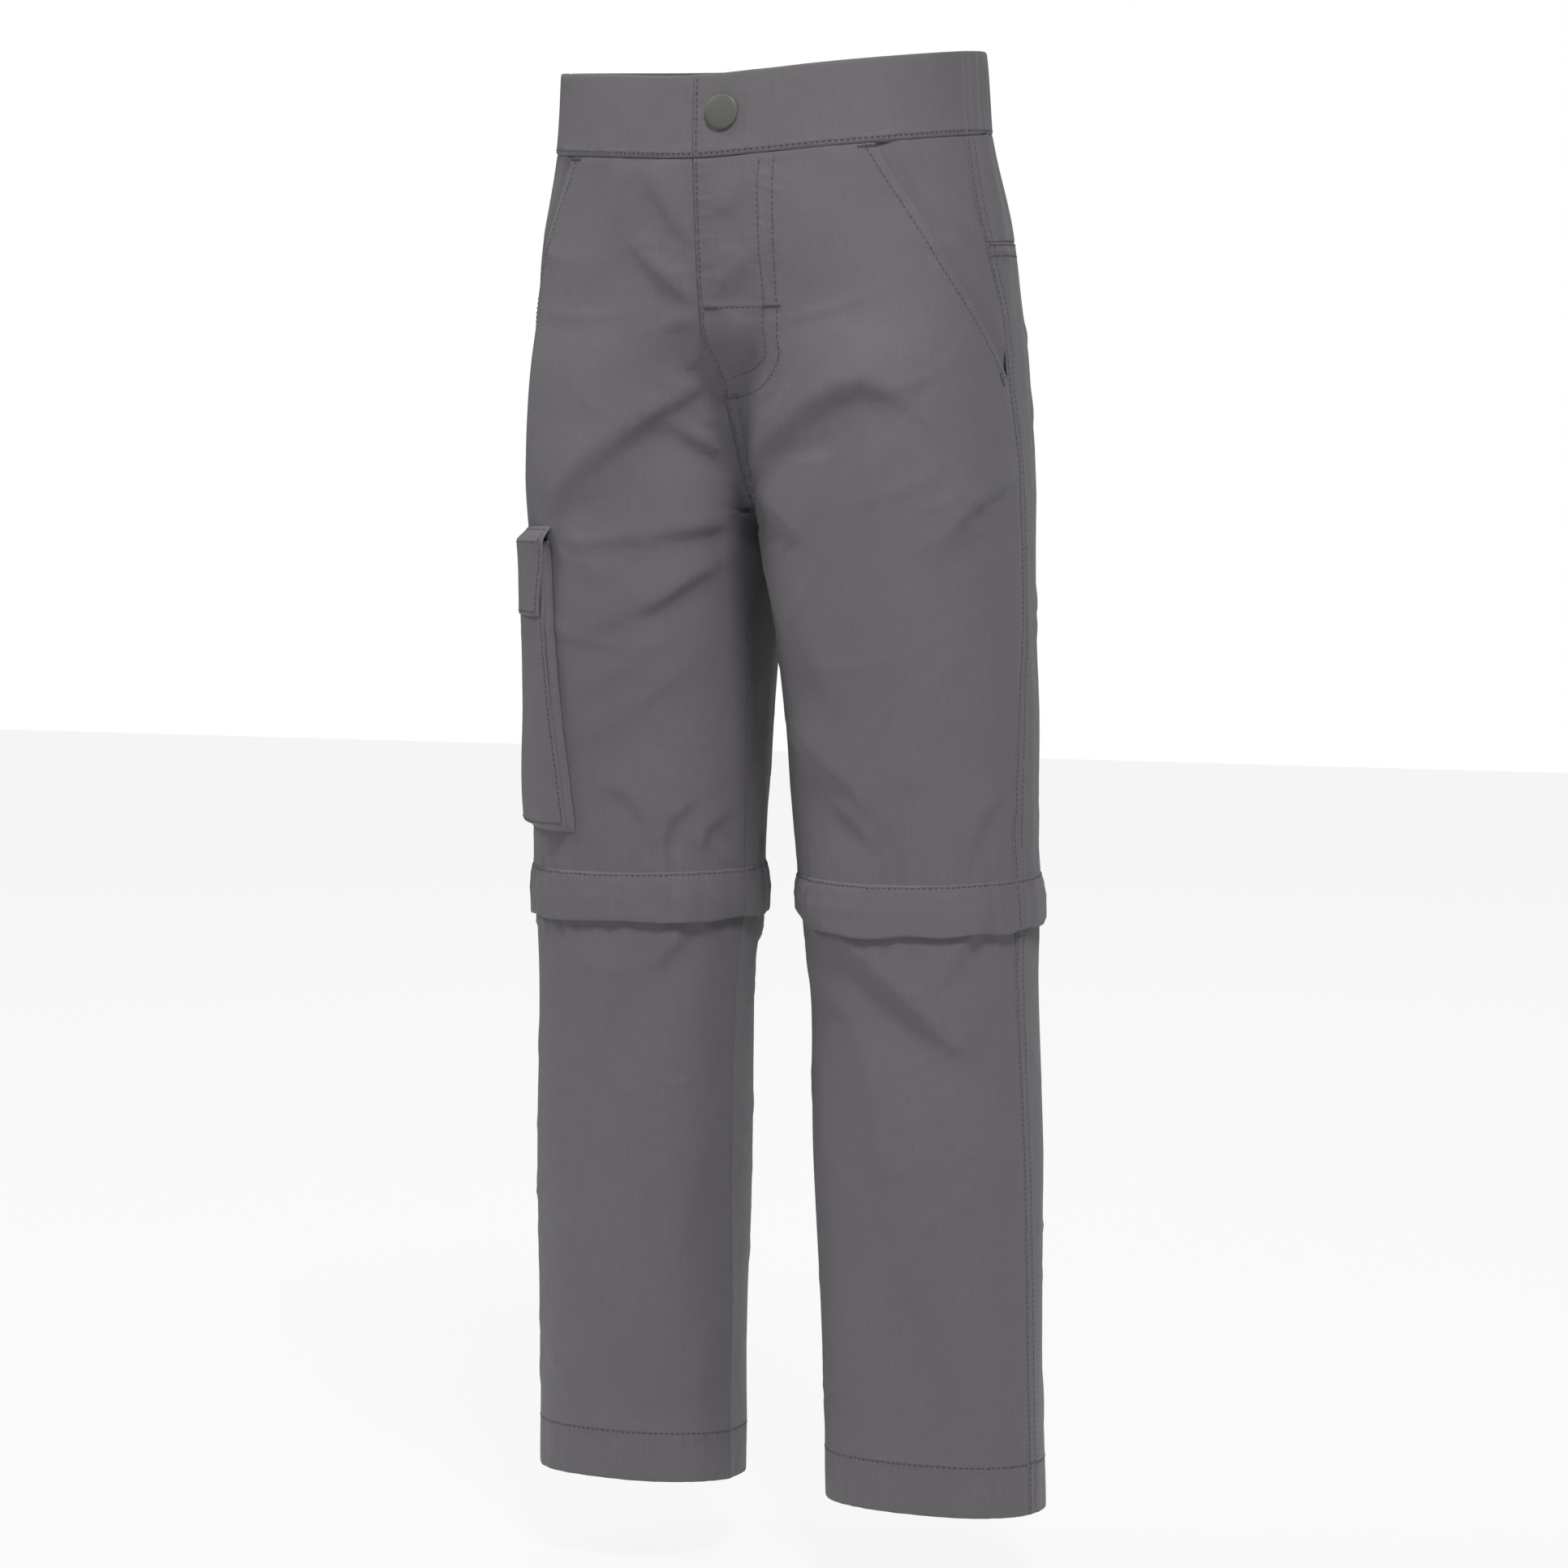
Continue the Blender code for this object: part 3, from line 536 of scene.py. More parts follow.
def lay(name, node, cloth, rows=(), step=2.2, pattern=None):
    tall = cloth.bottom - cloth.top
    drops = cloth.top + edged(tall, step)
    sample = np.linspace(cloth.top, cloth.bottom, 30)
    widths = np.abs(cloth.flat(cloth.end(sample), sample) - cloth.flat(cloth.start(sample), sample))
    widest = float(widths.max())
    shares = edged(widest, step)
    bm = bmesh.new()
    bmesh.ops.create_grid(bm, x_segments=len(shares) - 1, y_segments=len(drops) - 1, size=0.5)
    bmesh.ops.translate(bm, verts=bm.verts, vec=(0.5, 0.5, 0))
    doubled = bmesh.ops.extrude_face_region(bm, geom=bm.faces[:])
    under = [v for v in doubled["geom"] if isinstance(v, bmesh.types.BMVert)]
    bmesh.ops.translate(bm, verts=under, vec=(0, 0, 1))
    bmesh.ops.recalc_face_normals(bm, faces=bm.faces[:])
    mesh = bpy.data.meshes.new(name)
    bm.to_mesh(mesh)
    bm.free()
    spot = np.empty(3 * len(mesh.vertices))
    mesh.vertices.foreach_get("co", spot)
    u, v, layer = spot.reshape(-1, 3).T
    drop = drops[np.clip(np.rint(v * (len(drops) - 1)).astype(int), 0, len(drops) - 1)]
    start, end = cloth.start(drop), cloth.end(drop)
    first, last = cloth.flat(start, drop), cloth.flat(end, drop)
    width = np.abs(last - first)
    index = np.clip(np.rint(u * (len(shares) - 1)).astype(int), 0, len(shares) - 1)
    across = shares[index]
    rim = np.minimum(np.minimum(across, widest - across), 3.4) * np.minimum(1, width / 8)
    even = np.clip(across - 3.4, 0, widest - 6.8) / (widest - 6.8) * np.maximum(width - 6.8, 0.15 * width)
    ends = np.where(across > widest / 2, 3.4 * np.minimum(1, width / 8) - rim, 0)
    along = np.where(across < 3.4, rim, np.where(across > widest - 3.4, 0, 3.4 * np.minimum(1, width / 8) + even))
    along = np.where(across > widest - 3.4, width - rim, along)
    a = start + (end - start) * np.clip(along / np.maximum(width, 1e-6), 0, 1)
    x = cloth.flat(a, drop)
    to_sides = np.minimum(np.abs(x - first), np.abs(last - x))
    to_ends = np.minimum(drop - cloth.top, cloth.bottom - drop)
    sides, ends = cloth.sunk
    sink = sides * np.exp(-((to_sides / 1.3) ** 2)) + ends * np.exp(-((to_ends / 1.3) ** 2))
    lower = np.where(layer > 0.5, cloth.thick, 0) + sink
    round_off = min(cloth.thick / 2, 0.9)
    edge = turned_in(np.minimum(to_sides, to_ends), round_off)
    lower = lower + np.where(layer > 0.5, -edge, edge) * 0.98
    points = cloth.place(a, drop, cloth.out(a, drop) - lower)
    mesh.vertices.foreach_set("co", (points * MM).ravel())
    mesh.update()
    if signed_volume(mesh) < 0:
        mesh.flip_normals()
    lines = [[(float(cloth.flat(np.array(p), np.array(d))), d) for p, d in row] for row in rows]
    for label, values in zip(("stitch_side", "stitch_near"), away_from(lines, x, drop)):
        mesh.attributes.new(label, "FLOAT", "POINT").data.foreach_set("value", values)
    uv = mesh.uv_layers.active or mesh.uv_layers.new(name="cloth")
    uv.name = "cloth"
    corners = np.empty(len(mesh.loops), int)
    mesh.loops.foreach_get("vertex_index", corners)
    uv.data.foreach_set("uv", (np.stack([x, -drop], -1)[corners] * MM).ravel())
    mesh.shade_smooth()
    mesh.set_sharp_from_angle(angle=math.radians(50))
    piece = add_piece(name, mesh, grey_cloth())
    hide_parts(node)
    sewing = sew(name + "_stitches", [(cloth, row) for row in rows]) if rows else None
    area = float(sum(t.area for t in mesh.polygons)) / 2
    cut = (widest * MM * 1.02, max(0.0101, tall * MM * 1.02, area / (widest * MM)))
    if pattern:
        cut = pattern
    area = min(area, 0.999 * cut[0] * cut[1])
    carriers(node)
    return piece


def carriers(node):
    """The nodes that a node's cloth hangs from, on its own side where there are two."""
    name, _, side = node.rpartition("_")
    if side not in NAMES.values():
        return list(CARRIERS.get(node, ()))
    found = [f"{carrier}_{side}" for carrier in CARRIERS.get(name, ())]
    return [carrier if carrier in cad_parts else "waistband_back" for carrier in found]


def signed_volume(mesh):
    points = np.empty(3 * len(mesh.vertices))
    mesh.vertices.foreach_get("co", points)
    points = points.reshape(-1, 3)
    mesh.calc_loop_triangles()
    triangles = np.empty(3 * len(mesh.loop_triangles), int)
    mesh.loop_triangles.foreach_get("vertices", triangles)
    a, b, c = (points[triangles.reshape(-1, 3)[:, k]] for k in range(3))
    return float((a * np.cross(b, c)).sum())


def add_piece(name, mesh, material):
    """Links a piece to the scene. It goes where the garment goes."""
    piece = bpy.data.objects.new(name, mesh)
    mesh.materials.clear()
    mesh.materials.append(material)
    bpy.context.scene.collection.objects.link(piece)
    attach(piece, "root")
    return piece


# ---- Sewing ----


def resampled(cloth, row, pitch):
    """Even steps along a row on the cloth: points, directions along it and outwards."""
    row = np.array(row, float)
    fine = np.linspace(0, len(row) - 1, 12 * len(row))
    a = np.interp(fine, np.arange(len(row)), row[:, 0])
    drop = np.interp(fine, np.arange(len(row)), row[:, 1])
    points = cloth.at(a, drop)
    run = np.concatenate([[0], np.cumsum(np.linalg.norm(np.diff(points, axis=0), axis=1))])
    count = max(2, int(run[-1] / pitch))
    stops = (np.arange(count) + 0.5) * run[-1] / count
    a, drop = np.interp(stops, run, a), np.interp(stops, run, drop)
    points = cloth.at(a, drop, 0.08)
    out = cloth.at(a, drop, 1.08) - points
    along = np.gradient(points, axis=0)
    along = along / np.maximum(np.linalg.norm(along, axis=1, keepdims=True), 1e-9)
    return points, along, out / np.linalg.norm(out, axis=1, keepdims=True)


def repeated(name, make, points, along, out, size):
    """Copies one small shape to many places, sized (across, along, out) and turned to lie there."""
    bm = bmesh.new()
    make(bm)
    template = bpy.data.meshes.new(name)
    bm.to_mesh(template)
    bm.free()
    template.shade_smooth()
    shape = np.array([v.co for v in template.vertices])
    holder = bpy.data.objects.new(name, template)
    bpy.context.scene.collection.objects.link(holder)
    copies = holder.modifiers.new("copies", "ARRAY")
    copies.count = len(points)
    whole = bpy.data.meshes.new_from_object(holder.evaluated_get(bpy.context.evaluated_depsgraph_get()))
    bpy.data.objects.remove(holder, do_unlink=True)
    bpy.data.meshes.remove(template)
    across = np.cross(along, out)
    axes = np.stack([across * size[0], along * size[1], out * size[2]], 1)
    spots = points[:, None, :] + np.einsum("vk,nkc->nvc", shape, axes)
    whole.vertices.foreach_set("co", (spots * MM).ravel())
    whole.update()
    whole.name = name
    return whole


def sew(name, runs, pitch=2.7, size=(0.21, 0.92, 0.2), turned=False):
    """Makes the stitches of some rows: short rounded threads that sit in the cloth."""
    parts = [resampled(cloth, row, pitch) for cloth, row in runs]
    points, along, out = (np.concatenate([part[k] for part in parts]) for k in range(3))
    if turned:
        along = np.cross(out, along)
    thread = lambda bm: bmesh.ops.create_uvsphere(bm, u_segments=6, v_segments=4, radius=1)
    # The ball's poles lie along the thread.
    mesh = repeated(name, thread, points, along, out, size)
    piece = add_piece(name, mesh, sewing_thread())
    return piece


def bar_tacks(name, bars):
    """Close, dense stitching at points of strain. Each bar is its cloth and its two ends."""
    return sew(name, [(cloth, [first, last]) for cloth, first, last in bars], 0.55, (0.25, 0.85, 0.25), True)


# ---- Finishes ----


class Wire:
    """An output socket. Arithmetic on it adds Math nodes to its tree."""

    def __init__(self, tree, socket):
        self.tree = tree
        self.socket = socket

    def math(self, operation, *values):
        return Finish(self.tree).node("ShaderNodeMath", {"operation": operation}, dict(enumerate(values)))

    def __add__(self, other):
        return self.math("ADD", self, other)

    def __sub__(self, other):
        return self.math("SUBTRACT", self, other)

    def __rsub__(self, other):
        return self.math("SUBTRACT", other, self)

    def __mul__(self, other):
        return self.math("MULTIPLY", self, other)

    def __truediv__(self, other):
        return self.math("DIVIDE", self, other)

    __radd__ = __add__
    __rmul__ = __mul__


class Finish:
    """Adds nodes to a material's tree."""

    def __init__(self, tree):
        self.tree = tree

    def node(self, kind, settings=None, inputs=None, output=0):
        """One node: its settings are set first, then the values or links of its sockets."""
        node = self.tree.nodes.new(kind)
        for key, value in (settings or {}).items():
            if key == "stops":
                for element, (position, colour) in zip(node.color_ramp.elements, value):
                    element.position = position
                    element.color = (*colour, 1)
            else:
                setattr(node, key, value)
        for key, value in (inputs or {}).items():
            if isinstance(value, Wire):
                self.tree.links.new(value.socket, node.inputs[key])
            else:
                node.inputs[key].default_value = value
        return Wire(self.tree, node.outputs[output])

    def noise(self, vector, scale, detail=2.0, roughness=0.5):
        inputs = {"Vector": vector, "Scale": scale, "Detail": detail, "Roughness": roughness}
        return self.node("ShaderNodeTexNoise", {}, inputs)

    def stretched(self, vector, x, y, z=1.0):
        return self.node("ShaderNodeMapping", {}, {"Vector": vector, "Scale": (x, y, z)})

    def tinted(self, factor, first, second):
        settings = {"data_type": "RGBA"}
        inputs = {0: factor, 6: (*first, 1) if isinstance(first, tuple) else first}
        inputs[7] = (*second, 1) if isinstance(second, tuple) else second
        return self.node("ShaderNodeMix", settings, inputs, output=2)

    def raised(self, height, distance, strength=1.0):
        return self.node("ShaderNodeBump", {}, {"Height": height, "Distance": distance, "Strength": strength})


def new_finish(name):
    """A material with an empty Principled shader, or the one made before."""
    material = bpy.data.materials.get(name)
    if material:
        return material, None, None
    material = bpy.data.materials.new(name)
    material.use_nodes = True
    return material, Finish(material.node_tree), material.node_tree.nodes["Principled BSDF"]


def shades(colour, amount):
    return tuple(c * (1 - amount) for c in colour), tuple(c * (1 + amount) for c in colour)


def grey_cloth():
    """Plain woven cloth: fine threads, slubs along both, puckers beside the stitches, and painted shade in the grooves
    along the stitch rows.
    """
    material, finish, shader = new_finish("grey_cloth")
    if finish is None:
        return material
    settings = bpy.context.scene.trouser_cloth
    colour = tuple(settings.colour)
    uv = finish.node("ShaderNodeUVMap", {"uv_map": "cloth"})
    spot = finish.node("ShaderNodeTexCoord", {}, {}, output=3)
    away = finish.node("ShaderNodeAttribute", {"attribute_name": "stitch_side"}, {}, output=2)
    near = finish.node("ShaderNodeAttribute", {"attribute_name": "stitch_near"}, {}, output=2)
    warp = finish.noise(finish.stretched(uv, 2600, 55), 1.0, 2.0)
    weft = finish.noise(finish.stretched(uv, 60, 2300), 1.0, 2.0)
    cloudy = finish.noise(spot, 22.0, 3.0)
    streaks = warp * 0.55 + weft * 0.3 + cloudy * 0.15
    dark, light = shades(colour, settings.heather)
    ramp = finish.node("ShaderNodeValToRGB", {"stops": ((0.32, dark), (0.68, light))}, {0: streaks})
    # Painted shade: close along each stitch row, the colour darkens towards a shadow tone for the shade in the row's
    # groove.
    on_row = finish.node("ShaderNodeMapRange", {}, {0: near, 1: 1.5, 2: 2.0, 3: 1.0, 4: 0.0})
    groove = away.math("EXPONENT", away * away * -5.0) * on_row
    beside = near.math("EXPONENT", near * -0.3)
    shadow = tuple(c * 0.68 for c in colour)
    colour_with_painted_groove_shade = finish.tinted(groove * 0.2, ramp, shadow)
    along = finish.node("ShaderNodeSeparateXYZ", {}, {0: uv}, output=0)
    down = finish.node("ShaderNodeSeparateXYZ", {}, {0: uv}, output=1)
    pitch = 2 * math.pi / (settings.thread_pitch)
    threads = (along * pitch).math("SINE", along * pitch) * down.math("SINE", down * pitch)
    gathers = finish.noise(finish.stretched(uv, 190, 190), 1.0, 1.5)
    crumple = finish.noise(finish.stretched(uv, 60, 34), 1.0, 3.0, 0.55)
    height = crumple * 0.8 + gathers * beside * 0.95 - groove * 0.16 + threads * 0.035 + warp * 0.03
    links = material.node_tree.links
    links.new(colour_with_painted_groove_shade.socket, shader.inputs["Base Color"])
    links.new((warp * 0.08 + 0.6).socket, shader.inputs["Roughness"])
    links.new(finish.raised(height, 0.001).socket, shader.inputs["Normal"])
    shader.inputs["Sheen Weight"].default_value = settings.sheen
    shader.inputs["Sheen Roughness"].default_value = 0.45
    shader.inputs["Specular IOR Level"].default_value = 0.5
    return material


def sewing_thread():
    """Spun thread, a little darker than the cloth."""
    material, finish, shader = new_finish("sewing_thread")
    if finish is None:
        return material
    colour = tuple(bpy.context.scene.trouser_cloth.thread_colour)
    spot = finish.node("ShaderNodeTexCoord", {}, {}, output=3)
    fuzz = finish.noise(spot, 2500.0, 1.0)
    dark, light = shades(colour, 0.25)
    links = material.node_tree.links
    links.new(finish.tinted(fuzz, dark, light).socket, shader.inputs["Base Color"])
    links.new(finish.raised(fuzz, 0.00008).socket, shader.inputs["Normal"])
    shader.inputs["Roughness"].default_value = 0.7
    shader.inputs["Specular IOR Level"].default_value = 0.3
    return material


def painted_snap():
    """Matte paint on the snap's cap, with the faintest grain."""
    material, finish, shader = new_finish("painted_snap")
    if finish is None:
        return material
    colour = tuple(bpy.context.scene.trouser_trim.snap_colour)
    spot = finish.node("ShaderNodeTexCoord", {}, {}, output=3)
    grain = finish.noise(spot, 1800.0, 2.0)
    worn = finish.noise(spot, 160.0, 3.0)
    dark, light = shades(colour, 0.06)
    links = material.node_tree.links
    links.new(finish.tinted(worn, dark, light).socket, shader.inputs["Base Color"])
    links.new((worn * 0.14 + 0.42).socket, shader.inputs["Roughness"])
    links.new(finish.raised(grain, 0.00002).socket, shader.inputs["Normal"])
    shader.inputs["Specular IOR Level"].default_value = 0.4
    return material


def snap_metal():
    """Bare pressed metal on the snap's hidden half."""
    material, finish, shader = new_finish("snap_metal")
    if finish is None:
        return material
    spot = finish.node("ShaderNodeTexCoord", {}, {}, output=3)
    worn = finish.noise(spot, 400.0, 3.0)
    links = material.node_tree.links
    links.new(finish.tinted(worn, (0.36, 0.36, 0.35), (0.5, 0.5, 0.48)).socket, shader.inputs["Base Color"])
    links.new((worn * 0.2 + 0.3).socket, shader.inputs["Roughness"])
    shader.inputs["Metallic"].default_value = 1.0
    return material


def zip_tape():
    """Woven zip tape, darker than the cloth, with its ribs along it."""
    material, finish, shader = new_finish("zip_tape")
    if finish is None:
        return material
    colour = tuple(bpy.context.scene.trouser_trim.zip_colour)
    spot = finish.node("ShaderNodeTexCoord", {}, {}, output=3)
    ribs = finish.noise(finish.stretched(spot, 300, 300, 1500), 1.0, 1.0)
    dark, light = shades(colour, 0.2)
    links = material.node_tree.links
    links.new(finish.tinted(ribs, dark, light).socket, shader.inputs["Base Color"])
    links.new(finish.raised(ribs, 0.0001).socket, shader.inputs["Normal"])
    shader.inputs["Roughness"].default_value = 0.8
    return material


def zip_teeth():
    """Moulded plastic teeth."""
    material, finish, shader = new_finish("zip_teeth")
    if finish is None:
        return material
    colour = tuple(bpy.context.scene.trouser_trim.zip_colour)
    spot = finish.node("ShaderNodeTexCoord", {}, {}, output=3)
    worn = finish.noise(spot, 700.0, 2.0)
    dark, light = shades(colour, 0.15)
    links = material.node_tree.links
    links.new(finish.tinted(worn, dark, light).socket, shader.inputs["Base Color"])
    links.new((worn * 0.15 + 0.35).socket, shader.inputs["Roughness"])
    return material


def pale_floor():
    material, finish, shader = new_finish("pale_floor")
    if finish is None:
        return material
    spot = finish.node("ShaderNodeTexCoord", {}, {}, output=3)
    cloudy = finish.noise(spot, 3.0, 2.0)
    links = material.node_tree.links
    links.new(finish.tinted(cloudy, (0.86, 0.86, 0.87), (0.9, 0.9, 0.9)).socket, shader.inputs["Base Color"])
    shader.inputs["Roughness"].default_value = 0.9
    glow = finish.node("ShaderNodeEmission", {}, {"Color": (0.97, 0.97, 0.975, 1), "Strength": 1.0})
    seen = finish.node("ShaderNodeLightPath")
    even = finish.node("ShaderNodeMixShader", {}, {0: seen * 0.93})
    mixer = even.socket.node
    links.new(shader.outputs[0], mixer.inputs[1])
    links.new(glow.socket, mixer.inputs[2])
    links.new(even.socket, material.node_tree.nodes["Material Output"].inputs["Surface"])
    return material


# ---- Pieces ----


def points_down(function, start, end, count=24):
    """A row of stitches that runs down, given by its turn at each drop."""
    drops = np.linspace(start, end, count)
    return list(zip(np.asarray(function(drops), float) + 0 * drops, drops))


def points_round(start, end, drop, count=40):
    """A row of stitches that runs round at a drop, or at a drop for each turn."""
    turns = np.linspace(float(start), float(end), count)
    drops = drop(turns) if callable(drop) else drop + 0 * turns
    return list(zip(turns, drops))


def picked(points, steps=8):
    """A smooth row through picked points, given as (degrees round, drop)."""
    spots = np.array([(math.radians(a), d) for a, d in points])
    if len(spots) < 3:
        return [tuple(spot) for spot in spots]
    slopes = np.gradient(spots, axis=0)
    row = []
    for i in range(len(spots) - 1):
        for t in np.arange(steps) / steps:
            start = (2 * t**3 - 3 * t**2 + 1) * spots[i] + (t**3 - 2 * t**2 + t) * slopes[i]
            end = (3 * t**2 - 2 * t**3) * spots[i + 1] + (t**3 - t**2) * slopes[i + 1]
            row.append(tuple(start + end))
    return row + [tuple(spots[-1])]


def underlap(drop):
    """How far the right front goes on under the left one, narrowing down the fly."""
    return UNDERLAP * (1 - ease((drop - UNDERLAP_END + 45) / 45))


def lap(drop):
    """How far the left front goes past the centre line, over the right one."""
    return FLY_LAP * (1 - ease((drop - UNDERLAP_END + 22) / 20))


def lap_rise(turn, drop):
    """How far the left front lies over the right one along the fly and the waistband."""
    away = surface(LEFT, turn, drop)[..., 0]
    over = 1 - ease((away - underlap(drop) - 2) / LAP_FADE)
    return 1.5 * over * (1 - ease((drop - UNDERLAP_END) / (FLY_END - UNDERLAP_END)))


def gathered_yoke(side):
    """The gathers that the elastic in the back waistband leaves in the yoke."""

    def out(turn, drop):
        share = (turn + seam("side_turn", drop)) / (np.pi / 2)
        fade = 1 - 0.75 * ease((drop - WAIST_SEAM) / 60)
        wave = ripple(turn, 17 + side, 26, 44) + 0.7 * ripple(turn, 27 + side, 12, 20)
        return 0.75 * fade * ease(share * 5) * wave * ease((back_edge(side, drop) - turn) * 6)

    return out


def make_fronts():
    for side, past in ((LEFT, lap), (RIGHT, underlap)):

        def inner(side, drop, past=past):
            return front_edge(side, drop, past(drop) - GAP / 2)

        def outer(side, drop):
            return np.where(drop < POCKET_END, pocket_edge(drop), side_edge(side, drop, -1))

        limit = lambda drop, past=past: GAP / 2 - past(drop)
        rise = lap_rise if side == LEFT else None
        cloth = leg_cloth(side, inner, outer, WAIST_SEAM + 0.1, ZIP_TOP, rise, limit)
        rows = [points_down(lambda d: moved(side, pocket_edge(d), d, -5.5), WAIST_SEAM + 2, POCKET_END, 16)]
        if side == LEFT:
            rows.append(points_down(lambda d: front_edge(side, d, lap(d) - 1.6), WAIST_SEAM + 1, FLY_END - 15))
            rows.append(picked(FLY_OUTER))
            rows.append(picked(FLY_INNER))
            rows.append([(float(-centre_edge(np.array(FLY_BAR), 1)), FLY_BAR), (math.radians(-84.5), FLY_BAR)])
            for away in (1.4, 7.0):
                rows.append(points_down(lambda d: front_edge(side, d, -away), FLY_END - 14, CROTCH - 1))
        lay("front_cloth_" + NAMES[side], "front_" + NAMES[side], cloth, rows)
        tacks = [(cloth, picked(((-50.5, 39.6),))[0], picked(((-44.5, 39.6),))[0])]
        tacks.append((cloth, picked(((-6.5, 147),))[0], picked(((-3.5, 153),))[0]))
        if side == LEFT:
            tacks.append((cloth, picked(((-84.0, FLY_BAR),))[0], picked(((-89, FLY_BAR),))[0]))
            for drop in (FLY_BAR, FLY_END - 14):
                ends = [(float(-centre_edge(np.array(drop), away)), drop) for away in (0, -7)]
                tacks.append((cloth, *ends))
        bar_tacks("bar_tacks_" + NAMES[side], tacks)


FLY_BAR = 112.0
FLY_OUTER = ((-72.5, 41), (-78.5, 82), (-85.5, 113), (-95, 133), (-103.5, 143), (-114, 151), (-128.5, 155), (-144, 157))
FLY_INNER = ((-76, 41), (-82, 82), (-89, 113), (-101, 133), (-110.5, 140), (-122, 144), (-134, 146))


def make_pocket_facings():
    for side in (LEFT, RIGHT):

        def start(side, drop):
            return moved(side, pocket_edge(drop), drop, -14)

        def end(side, drop):
            edge = moved(side, side_edge(side, drop, -1), drop, -GAP)
            return np.maximum(edge, pocket_edge(drop) + 0.01)

        def out(turn, drop):
            past = arc(turn - pocket_edge(drop), drop)
            return -1.5 * (1 - ease((past - 2.5) / 9))

        cloth = leg_cloth(side, start, end, WAIST_SEAM + 0.1, POCKET_END + 3, out)
        lay("pocket_cloth_" + NAMES[side], "pocket_facing_" + NAMES[side], cloth)


def make_backs():
    for side in (LEFT, RIGHT):

        def start(side, drop):
            return side_edge(side, drop, 1)

        name = NAMES[side]
        edge_row = lambda away, top, bottom: points_down(lambda d: moved(side, side_edge(side, d, 1), d, away), top, bottom, 60)
        rise_row = lambda away, top, bottom: points_down(lambda d: moved(side, back_edge(side, d), d, -away), top, bottom, 30)
        yoke = leg_cloth(side, start, back_edge, WAIST_SEAM + 0.1, YOKE_SEAM - 0.1, gathered_yoke(side))
        rows = [edge_row(1.3, 40, YOKE_SEAM - 1), edge_row(6.5, 40, YOKE_SEAM - 1)]
        if side == LEFT:
            rows += [rise_row(1.4, 40, YOKE_SEAM - 1), rise_row(7, 40, YOKE_SEAM - 1)]
        lay("yoke_cloth_" + name, "yoke_" + name, yoke, rows)
        back = leg_cloth(side, start, back_edge, YOKE_SEAM + 0.1, ZIP_TOP, gathered_yoke(side))
        rows = [edge_row(1.3, YOKE_SEAM + 1, BAND_TOP), edge_row(6.5, YOKE_SEAM + 1, BAND_TOP)]
        for down in (1.4, 6.5):
            drop = np.array(YOKE_SEAM + down)
            rows.append(points_round(start(side, drop) + 0.02, back_edge(side, drop) - 0.02, float(drop)))
        if side == LEFT:
            rows += [rise_row(1.4, YOKE_SEAM + 1, CROTCH - 1), rise_row(7, YOKE_SEAM + 1, CROTCH - 1)]
        lay("back_cloth_" + name, "back_" + name, back, rows)


def make_waistband():
    """Two fronts that snap together and a gathered elastic back."""
    for side, past in ((LEFT, FLY_LAP), (RIGHT, UNDERLAP)):

        def start(side, drop, past=past):
            return -centre_edge(drop, past)

        def out(turn, drop, side=side):
            return BAND_STAND + (lap_rise(turn, drop) if side == LEFT else 0 * turn)

        end = lambda side, drop: side_edge(side, drop, -1)
        limit = lambda drop, past=past: -past
        cloth = leg_cloth(side, start, end, 0, WAIST_SEAM, out, limit, thick=BANDING, sunk=(0.2, 0.2))
        low = np.array(WAIST_SEAM - 2.0)
        rows = [points_round(start(side, low) + 0.02, end(side, low), float(low))]
        if side == LEFT:
            rows.append(points_down(lambda d: -centre_edge(d, past - 1.8), 1.5, WAIST_SEAM - 2))
        lay("waistband_cloth_" + NAMES[side], "waistband_front_" + NAMES[side], cloth, rows)

    def place(across, drop, lift):
        side = np.where(across < 0, -1, 1)
        edge = moved(LEFT, -seam("side_turn", drop), drop, GAP / 2)
        turn = np.pi / 2 - (np.pi / 2 - edge) * np.abs(across) / BACK_HALF
        point = skin(LEFT, turn, drop, lift, -1e3)
        point[..., 0] *= side
        return point

    def gathered(across, drop):
        share = across / BACK_HALF
        fade = ease((1 - np.abs(share)) * 10)
        turn = share * np.pi
        wave = ripple(turn, 5, 20, 34) + 0.5 * ripple(turn + 0.01 * np.sin(drop / 9), 6, 34, 48)
        swell = 0.35 + 0.65 * np.sin(np.pi * np.clip(drop / WAIST_SEAM, 0, 1)) ** 0.6
        return BAND_STAND - 0.9 * fade + 0.9 * fade * wave * swell

    cloth = Cloth(place, lambda a, d: a, lambda d: -BACK_HALF + 0 * d, lambda d: BACK_HALF + 0 * d, 0, WAIST_SEAM)
    cloth.out = gathered
    cloth.thick = BANDING
    rows = [[(a, drop) for a in np.linspace(-BACK_HALF, BACK_HALF, 60)] for drop in (WAIST_SEAM - 2,)]
    piece = lay("waistband_cloth_back", "waistband_back", cloth, rows, step=1.6)


BACK_HALF = 160.0


def make_fly_zip():
    cloth = leg_cloth(
        LEFT,
        lambda side, drop: -centre_edge(drop, 2),
        lambda side, drop: -centre_edge(drop, -26),
        WAIST_SEAM + 4,
        UNDERLAP_END - 26,
        lambda t, d: 0 * t - INSIDE,
        lambda d: -2,
        thick=0.9,
    )
    piece = lay("fly_zip_tape", "fly_zip", cloth)
    piece.data.materials[0] = zip_tape()


def ring_edges(side):
    """The two ends of a strip right round a leg, which meet at the inseam."""
    start = lambda side, drop: moved(side, seam("inner_turn", drop) - np.pi, drop, GAP / 2)
    end = lambda side, drop: moved(side, seam("inner_turn", drop) + np.pi, drop, -GAP / 2)
    return start, end


